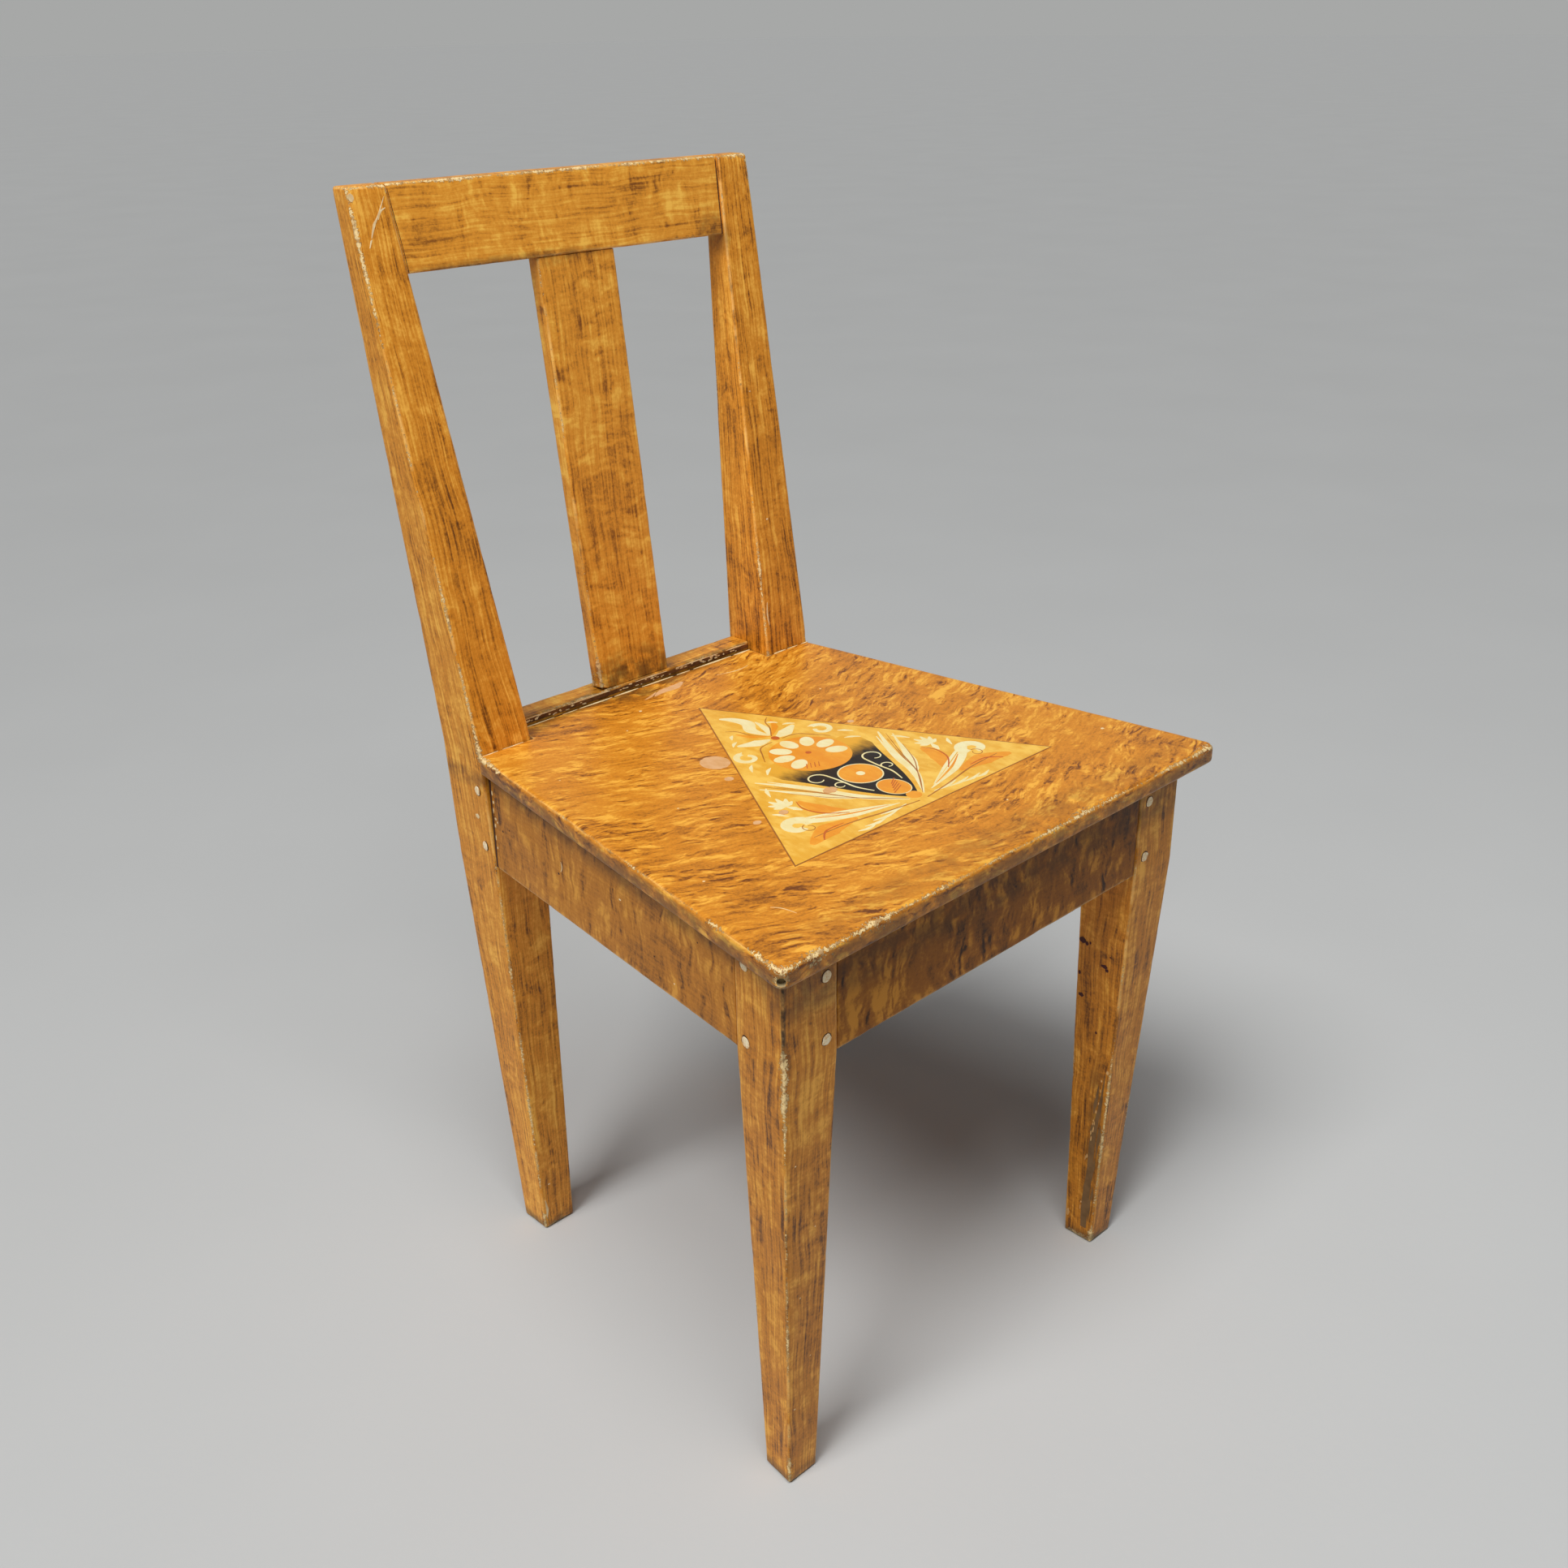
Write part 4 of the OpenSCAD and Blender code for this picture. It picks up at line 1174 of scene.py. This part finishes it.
def make_ornament():
    """A folk flower on a golden triangle: discs with petals over a black ground."""
    border, ground, black, cream, orange, red, brown = (seat_coat(MIDDLE) for _ in range(7))
    triangle(border, 1.0, 1)
    triangle(ground, 0.0, 2)
    ornament_flower(black, cream, orange, red, brown)
    for side in (1, -1):
        ornament_side(side, cream, orange, red, brown)
    gold = (236, 174, 54)
    for coat, name, paint, colour, second, share, ends in (
            (border, "border", "brown_edge", (150, 92, 36), (190, 124, 52), 0.5, None),
            (ground, "ground", "gold", gold, (252, 206, 96), 0.9, None),
            (black, "black", "black", (16, 8, 10), gold, 0.02, (-50, -25)),
            (cream, "cream", "cream", (248, 238, 186), (240, 214, 138), 0.6, None),
            (orange, "orange", "orange", (238, 150, 36), (246, 172, 58), 0.8, None),
            (red, "red", "red", (196, 92, 32), (214, 120, 48), 0.8, None),
            (brown, "brown", "brown", (168, 104, 42), (196, 132, 62), 0.8, None)):
        coat.finish("ornament_" + name, plain_paint(
            "seat_paint", "ornament_" + paint, colour, second, share, ends=ends))


def make_spots():
    """Rubbed spots and drips on the board."""
    pale, white, groove = seat_coat(), seat_coat(), seat_coat()
    pale.disc(-55.5, 7, 10.5, 11.5, 0, 0.05)
    pale.disc(-32, -83, 5.5, 4.2, 12, 0.15)
    pale.disc(-78, -85, 3.4, 3.0, 12, 0.2)
    pale.discs(((-100, -83, 3.2, 2.6), (-67, -20, 3.4, 3.0), (65, -10, 2.8, 2.4)), 0, 0.2)
    pale.curve([(-4, 133), (7, 137), (20, 137), (31, 141)], [0.5, 3.2, 4.2, 0.8], 0)
    pale.curve([(-14, 133), (-6, 135), (2, 139)], [0.2, 1.4, 0.3], 0)
    white.discs(((-172.0, 104, 1.7, 1.2), (-31, 118, 1.2), (183, -152, 1.4), (-122, -30, 0.8),
                 (96, 52, 0.8), (-178, -118, 1.0), (-150, 62, 0.7), (40, -178, 0.8),
                 (-62, 96, 0.7)), 1, 0.25)
    white.curve([(-172, -170), (-168, -176), (-166, -186)], [0.2, 0.4, 0.15], 1)
    white.curve([(60, 132), (78, 128), (92, 130)], [0.15, 0.35, 0.15], 1)
    # The back edge and the stiles' notches: a dark groove under broken white lines
    back = SEAT_HIGH.y / MM - 1.2
    notch = STILE_FRONT / MM - 0.7
    groove.dashes(((-118, -62, 0.7), (-60, 20, 0.8), (14, 70, 0.7), (66, 119, 0.7)),
                  back + 0.4, -0.2, 0.2, 0)
    white.dashes(((-114, -84, 0.7), (-76, -62, 0.5), (-60, -28, 0.9), (-26, -2, 1.1), (2, 34, 1.0),
                  (38, 52, 0.8), (56, 97, 1.2), (100, 118, 1.1)), back - 0.4, -0.2, 0.2, 1)
    white.dashes(((126, 139, 0.8), (141, 153, 0.6), (157, 165, 0.7), (-165, -150, 0.5),
                  (-146, -128, 0.4)), notch, -0.3, 0.1, 1)
    groove.finish("seat_back_groove", plain_paint(
        "seat_paint", "groove", (70, 42, 20), (44, 28, 14), 0.8, 0.7))
    pale.finish("seat_rubbed_spots", plain_paint(
        "seat_paint", "rubbed_spot", (230, 182, 132), (216, 160, 98), 0.8, 0.6))
    white.finish("seat_white_specks", plain_paint(
        "seat_paint", "white_speck", (250, 230, 178), (232, 192, 130), 0.8, 0.6))


# ---- Nail holes, drips and scratches on the legs, the rails and the back, and a painted shadow line ----

def leg_face(node, z, a, b, from_b=False):
    """A coat for one face of a leg: millimetres from corner a to b, and up from z.

    With from_b it starts at corner b instead, so the face lies at negative x.
    """
    here, above = level_quad(node, z), level_quad(node, z + 0.02)
    start = b if from_b else a
    return Coat(here[start], here[b] - here[a], above[start] - here[start])


def nick_left_rail():
    """The left side rail's outer face, from its rear end forwards."""
    front, rear = side_quads("side_seat_rail_left")
    holes_and_shadow, chips = (Coat(rear[0], front[0] - rear[0], rear[1] - rear[0]) for _ in range(2))
    # A painted shadow line down the rail's rear end, where the leg stands proud of it
    holes_and_shadow.curve([(1.2, 1), (1.5, 24), (1.3, 50), (1.7, 73)], [1.0, 1.3, 1.1, 1.5], 0)
    holes_and_shadow.discs(((15, 35.5, 1.0), (25, 40, 0.8), (93, 33.5, 1.1), (210, 22, 0.7), (260, 55, 0.6)), 0)
    holes_and_shadow.finish("side_rail_nail_holes_and_joint_shadow", DARK_NICK_AND_SHADOW)
    chips.discs(((3.6, 62, 0.8, 1.8), (4.4, 55, 1.1, 1.3), (3.4, 48, 0.7, 2.2), (5.4, 42, 1.4, 1.0),
                 (4.0, 36, 1.0, 1.6), (3.4, 26, 0.6, 2.4), (4.4, 18, 0.8, 1.0), (8.0, 40, 0.7, 0.8)), 1)
    chips.curve([(96, 36), (98, 40), (97, 44)], [0.2, 0.6, 0.2], 0)
    chips.discs(((172, 47, 1.2, 0.6), (232, 12, 0.8, 0.5)), 0)
    chips.finish("side_rail_chips", CREAM_CHIP)


def nick_rear_rail():
    """The rear rail above the board: a dark band, flecked, under a rubbed edge."""
    left, right = cross_quads("rear_seat_rail")
    band, flecks = (Coat(left[3], (1, 0, 0), left[3] - left[0]) for _ in range(2))
    long = (right[3] - left[3]).length / MM
    band.dashes(((1, 0.36 * long, 1.7), (0.33 * long, 0.7 * long, 1.7), (0.66 * long, long - 1, 1.7)),
                -3.8, 0.3, 1.3, 0)
    band.finish("rear_rail_dirt", plain_paint(
        "back_paint", "rail_dirt", (80, 46, 20), (128, 80, 36), 0.9, 0.7))
    for _ in range(56):
        x = random.choice((0.12, 0.2, 0.45, 0.56, 0.75, 0.86)) * long + random.uniform(-20, 20)
        flecks.disc(x, random.uniform(-5.2, -2.0), random.uniform(0.6, 2.0),
                    random.uniform(0.3, 0.75), 1, 0.3)
    flecks.dashes(((6, 40, 0.35), (52, 92, 0.6), (118, 150, 0.5), (160, 205, 0.4),
                   (214, 236, 0.55)), -1.7, 0.2, 0.1, 1)
    flecks.finish("rear_rail_chips", CREAM_CHIP)


def nick_back():
    """The long scratch beside the top rail, chips, and the rail's open joints."""
    scratch = leg_face("rear_leg_left", 0.78, 0, 1)
    scratch.curve([(11, 8), (15, 16), (19, 21), (27, 33)], [0.2, 0.9, 0.4, 0.2], 0)
    scratch.curve([(19, 19), (22, 24), (26, 26)], [0.2, 0.6, 0.2], 0)
    scratch.curve([(8, 2), (10, 6), (11, 7)], [0.2, 0.5, 0.2], 0)
    scratch.disc(2.8, 34, 2.0, 2.6, 0, 0.2)
    scratch.finish("stile_scratch", CREAM_CHIP)
    right = leg_face("rear_leg_right", 0.46, 0, 1)
    right.curve([(5, 3), (4, 12), (5, 22)], [0.2, 0.7, 0.2], 0)
    right.discs(((14, 88, 1.0, 0.7), (9, 190, 0.8, 0.6)), 0)
    right.finish("right_stile_chips", CREAM_CHIP)
    left_end, right_end = cross_quads("top_rail")
    for name, end, side, half in (("left", left_end, 1, 0.22), ("right", right_end, -1, 0.55)):
        joint = Coat(end[0], (1, 0, 0), end[3] - end[0])
        joint.curve([(side * 0.9, 1), (side * 1.1, 18), (side * 0.8, 38), (side * 0.9, 55)],
                    [half, 0.7 * half, half, 0.5 * half], 0)
        joint.finish("top_rail_joint_" + name, (DARK_NICK_AND_SHADOW[0], "back_paint"))


def nick_right_leg():
    """Dark red spots high up on the right front leg, and the bare strip at its edge."""
    spots = leg_face("front_leg_right", 0.20, 3, 0)
    spots.discs(((4.5, 79, 3.0, 2.6), (8.5, 77.5, 1.5, 1.8), (11.5, 79, 0.8, 1.2), (25, 64, 3.0, 1.7),
                 (27.5, 61.5, 1.5, 1.6), (5.5, 31, 2.4, 1.8), (21, 3, 1.0, 1.2), (3, 50, 1.1, 1.8),
                 (30, 74, 0.8, 0.7)), 0)
    spots.finish("right_leg_spots", plain_paint(
        "frame_paint", "dark_red_spot", (86, 26, 20), (54, 20, 16), 0.8, 0.6))
    bare, rim = (leg_face("front_leg_right", 0.01, 3, 0, from_b=True) for _ in range(2))
    bare.curve([(-8.5, 3), (-9.2, 30), (-8.6, 62), (-9.2, 92), (-6.4, 126), (-4.6, 160)],
               [2.6, 3.4, 2.6, 2.8, 1.2, 0.2], 0)
    for _ in range(16):
        # Brush-like ends and sides, so that the strip has no clean outline
        y = random.uniform(2, 130)
        x = -8.8 + 2.4 * (y / 130) + random.choice((-1, 1)) * random.uniform(2.2, 4.4)
        length = random.uniform(12, 34)
        bare.curve([(x, y), (x + random.uniform(-0.6, 0.6), y + length / 2), (x, y + length)],
                   [0.1, random.uniform(0.5, 1.4), 0.1], 0)
    bare.finish("right_leg_bare_strip", plain_paint(
        "frame_paint", "bare_strip", (132, 98, 58), (98, 70, 40), 0.9, 0.7))
    for _ in range(14):
        y = random.uniform(20, 150)
        x = -13.4 + 8.0 * max(0.0, (y - 70) / 90) + random.uniform(-0.8, 0.8)
        rim.disc(x, y, random.uniform(0.3, 0.6), random.uniform(0.8, 2.6), 1, 0.3)
    rim.discs(((-3.0, 162, 1.1, 1.8), (-7.4, 152, 0.6, 1.0), (-24.5, 10, 1.5, 3.2)), 1)
    rim.finish("right_leg_pale_chips", plain_paint(
        "frame_paint", "ochre_chip", (232, 186, 120), (204, 150, 84), 0.8, 0.6))


def nick_left_legs():
    """Specks on the near leg, a filled hole between the left stile's pegs, a chipped foot."""
    specks = leg_face("front_leg_left", 0.05, 0, 1)
    specks.discs(((6, 20, 0.8), (21, 60, 0.6), (12, 118, 0.7), (26, 171, 0.5), (9, 230, 0.6)), 0,
                 flat=0.7)
    specks.finish("near_leg_specks", CREAM_CHIP)
    pegs = [spot for spot, normal in peg_faces("rear_leg_pegs_left", "rear_leg_left")
            if normal.x < -0.7]
    plug = leg_face("rear_leg_left", 0.36, 3, 0)
    away = (sum(pegs, Vector()) / len(pegs) - plug.origin) / MM
    plug.disc(-away.y - 4.5, away.z, 2.3, 2.0, 0, 0.2)
    plug.finish("left_stile_filled_hole", CREAM_CHIP)
    foot = leg_face("rear_leg_left", 0.01, 0, 1)
    foot.curve([(3, 2), (4, 10), (3, 20)], [0.3, 1.3, 0.2], 0)
    foot.disc(9, 34, 1.1, 0.7, 0, 0.3)
    foot.finish("rear_foot_chips", CREAM_CHIP)


# ---- Pegs: pale plugs with a dark gap round them ----

GAP_R = 4.15 * MM    # radius of the dark gap round a peg


def islands(node):
    """The sets of points that hang together in a CAD node, as lists of faces."""
    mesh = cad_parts[node].data
    group = list(range(len(mesh.vertices)))

    def root(i):
        while group[i] != i:
            group[i] = group[group[i]]
            i = group[i]
        return i

    for edge in mesh.edges:
        group[root(edge.vertices[0])] = root(edge.vertices[1])
    sets = {}
    for polygon in mesh.polygons:
        sets.setdefault(root(polygon.vertices[0]), []).append(polygon)
    return list(sets.values())


def peg_faces(node, leg_node):
    """Each peg's outer end: its middle and the way that it faces."""
    found = []
    for polygons in islands(node):
        areas = {}
        for polygon in polygons:
            key = tuple(round(n, 2) for n in polygon.normal)
            area, spot, normal = areas.get(key, (0.0, Vector(), polygon.normal.copy()))
            areas[key] = (area + polygon.area, spot + polygon.center * polygon.area, normal)
        ends = sorted(areas.values(), key=lambda a: -a[0])[:2]
        spots = [(spot / area, normal) for area, spot, normal in ends]
        heart = middle(level_quad(leg_node, spots[0][0].z))
        found.append(max(spots, key=lambda s: (s[0] - heart).dot(s[1])))
    return found


def round_head(points, faces, spot, normal, radius, proud, ragged, dome):
    """Adds a low irregular disc on a face, closed underneath."""
    first = len(points)
    right = normal.orthogonal().normalized()
    ahead = normal.cross(right)
    around = 28
    wobble = [random.uniform(-1, 1) for _ in range(4)]
    rows = ((1.0, -0.6 * MM), (1.0, proud - dome), (0.9, proud - 0.2 * dome),
            (0.6, proud), (0.3, proud + 0.02 * MM))
    for share, height in rows:
        for k in range(around):
            a = 2 * math.pi * k / around
            uneven = sum(w * math.sin((j + 2) * a + 3 * w) for j, w in enumerate(wobble))
            r = radius * share * (1 + ragged * uneven)
            points.append(spot + right * r * math.cos(a) + ahead * r * math.sin(a)
                          + normal * height)
    faces += tube_faces(len(rows), around, first)


def make_pegs():
    for leg_name in ("front_leg_left", "front_leg_right", "rear_leg_left", "rear_leg_right"):
        node = leg_name.replace("leg_", "leg_pegs_")
        heads, gaps = ([], []), ([], [])
        for spot, normal in peg_faces(node, leg_name):
            flat = spot - normal * 0.4 * MM
            # The head sits low in its hole, so a dark crescent shows above it
            right = Vector((0, 0, 1)).cross(normal).normalized()
            down = right.cross(normal).normalized()
            aside = right * random.uniform(0.1, 0.5) * MM + down * random.uniform(0.2, 0.6) * MM
            radius = random.uniform(3.5, 3.8) * MM
            round_head(*gaps, flat, normal, GAP_R, 0.06 * MM, 0.05, 0.02 * MM)
            round_head(*heads, flat + aside, normal, radius, 0.3 * MM, 0.06, 0.12 * MM)
        finish_piece(add_mesh(node + "_heads", *heads, smooth=True), PEG_WOOD, node)
        finish_piece(add_mesh(node + "_gaps", *gaps), PEG_GAP)


# ---- Under the seat: the CAD's own pieces ----

def dress(node, material, bevel):
    """Gives a CAD node its look and soft edges, and leaves its shape."""
    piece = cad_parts[node]
    surface, slot = material
    piece.data.materials.clear()
    piece.data.materials.append(surface)
    if bevel:
        rounding = piece.modifiers.new("soft_edges", "BEVEL")
        rounding.width = bevel
        rounding.segments = 2
        rounding.limit_method = "ANGLE"
        rounding.angle_limit = math.radians(40)


def make_underside():
    for node, material, bevel in (
            ("side_cleat_left", CLEAT_WOOD, 1 * MM), ("side_cleat_right", CLEAT_WOOD, 1 * MM),
            ("front_cleat", CROSS_CLEAT_WOOD, 1 * MM), ("rear_cleat", CROSS_CLEAT_WOOD, 1 * MM),
            ("cleat_screws", STEEL, 0), ("seat_screws", STEEL, 0)):
        dress(node, material, bevel)


make_legs()
make_rails()
make_seat()
make_ornament()
make_spots()
nick_left_rail()
nick_rear_rail()
nick_back()
nick_right_leg()
nick_left_legs()
make_pegs()
make_underside()


# ---- Camera, light and floor ----

CAMERA_AT = (-0.7541, -0.7852, 0.9156)
CAMERA_ANGLES = (-44.03, 25.04, -0.81)   # degrees: azimuth, elevation and roll
CAMERA_LENS = 37.75

# Sun, lamp and world together make a level surface render about as its colour is written
KEY = 0.62
KEY_FROM = (-0.57, -0.08, 0.82)
LAMP = 16.0
LAMP_AT = (-0.50, -0.65, 2.1)
AMBIENT = 0.11
FLOOR_HALF = 60.0


def turn_object(thing, turn):
    thing.rotation_mode = "QUATERNION"
    thing.rotation_quaternion = turn


def make_camera():
    data = bpy.data.cameras.new("camera")
    data.sensor_width = 36
    data.lens = CAMERA_LENS
    camera = add_object("camera", data)
    azimuth, elevation, roll = (math.radians(a) for a in CAMERA_ANGLES)
    back = Vector((
        math.sin(azimuth) * math.cos(elevation),
        -math.cos(azimuth) * math.cos(elevation),
        math.sin(elevation)))
    camera.location = CAMERA_AT
    turn_object(camera, (-back).to_track_quat("-Z", "Y") @ Quaternion((0, 0, 1), roll))
    bpy.context.scene.camera = camera


def make_light(name, kind, source, **settings):
    """A light that shines from the side of source towards the origin."""
    data = bpy.data.lights.new(name, kind)
    for key, value in settings.items():
        setattr(data, key, value)
    light = add_object(name, data)
    turn_object(light, Vector(source).to_track_quat("Z", "Y"))
    return light


def make_floor():
    s = Surface("floor")
    colour = s.mix(s.noise(s.place(), 3, 3, 0.5), srgb(202, 203, 202), srgb(208, 209, 208))
    material = s.finish(colour, 0.9, s.bump(s.noise(s.place(), 120, 3, 0.5), 0.2, 0.4))
    corners = [(x * FLOOR_HALF, y * FLOOR_HALF, 0) for x, y in RING_SIGNS]
    floor = add_mesh("floor", corners, [(0, 1, 2, 3)])
    floor.data.materials.append(material)


def make_world():
    """Soft light from all round, and a pale backdrop where the camera sees past the floor."""
    world = bpy.data.worlds.new("world")
    world.use_nodes = True
    nodes, links = world.node_tree.nodes, world.node_tree.links
    soft = nodes["Background"]
    soft.inputs["Color"].default_value = srgb(250, 252, 255)
    soft.inputs["Strength"].default_value = AMBIENT
    backdrop = nodes.new("ShaderNodeBackground")
    backdrop.inputs["Color"].default_value = srgb(167, 168, 167)
    rays = nodes.new("ShaderNodeLightPath")
    shown = rays.outputs["Is Camera Ray"]
    for kind in ("Is Glossy Ray", "Is Transmission Ray"):
        either = nodes.new("ShaderNodeMath")
        either.operation = "ADD"
        either.use_clamp = True
        links.new(shown, either.inputs[0])
        links.new(rays.outputs[kind], either.inputs[1])
        shown = either.outputs[0]
    mixed = nodes.new("ShaderNodeMixShader")
    links.new(shown, mixed.inputs["Fac"])
    links.new(soft.outputs[0], mixed.inputs[1])
    links.new(backdrop.outputs[0], mixed.inputs[2])
    links.new(mixed.outputs[0], nodes["World Output"].inputs["Surface"])
    bpy.context.scene.world = world


make_camera()
make_light("key", "SUN", KEY_FROM, angle=math.radians(24), energy=KEY * math.pi)
make_light("lamp", "AREA", LAMP_AT, shape="DISK", size=0.9, energy=LAMP).location = LAMP_AT
make_floor()
make_world()
bpy.context.scene.view_settings.view_transform = "Standard"
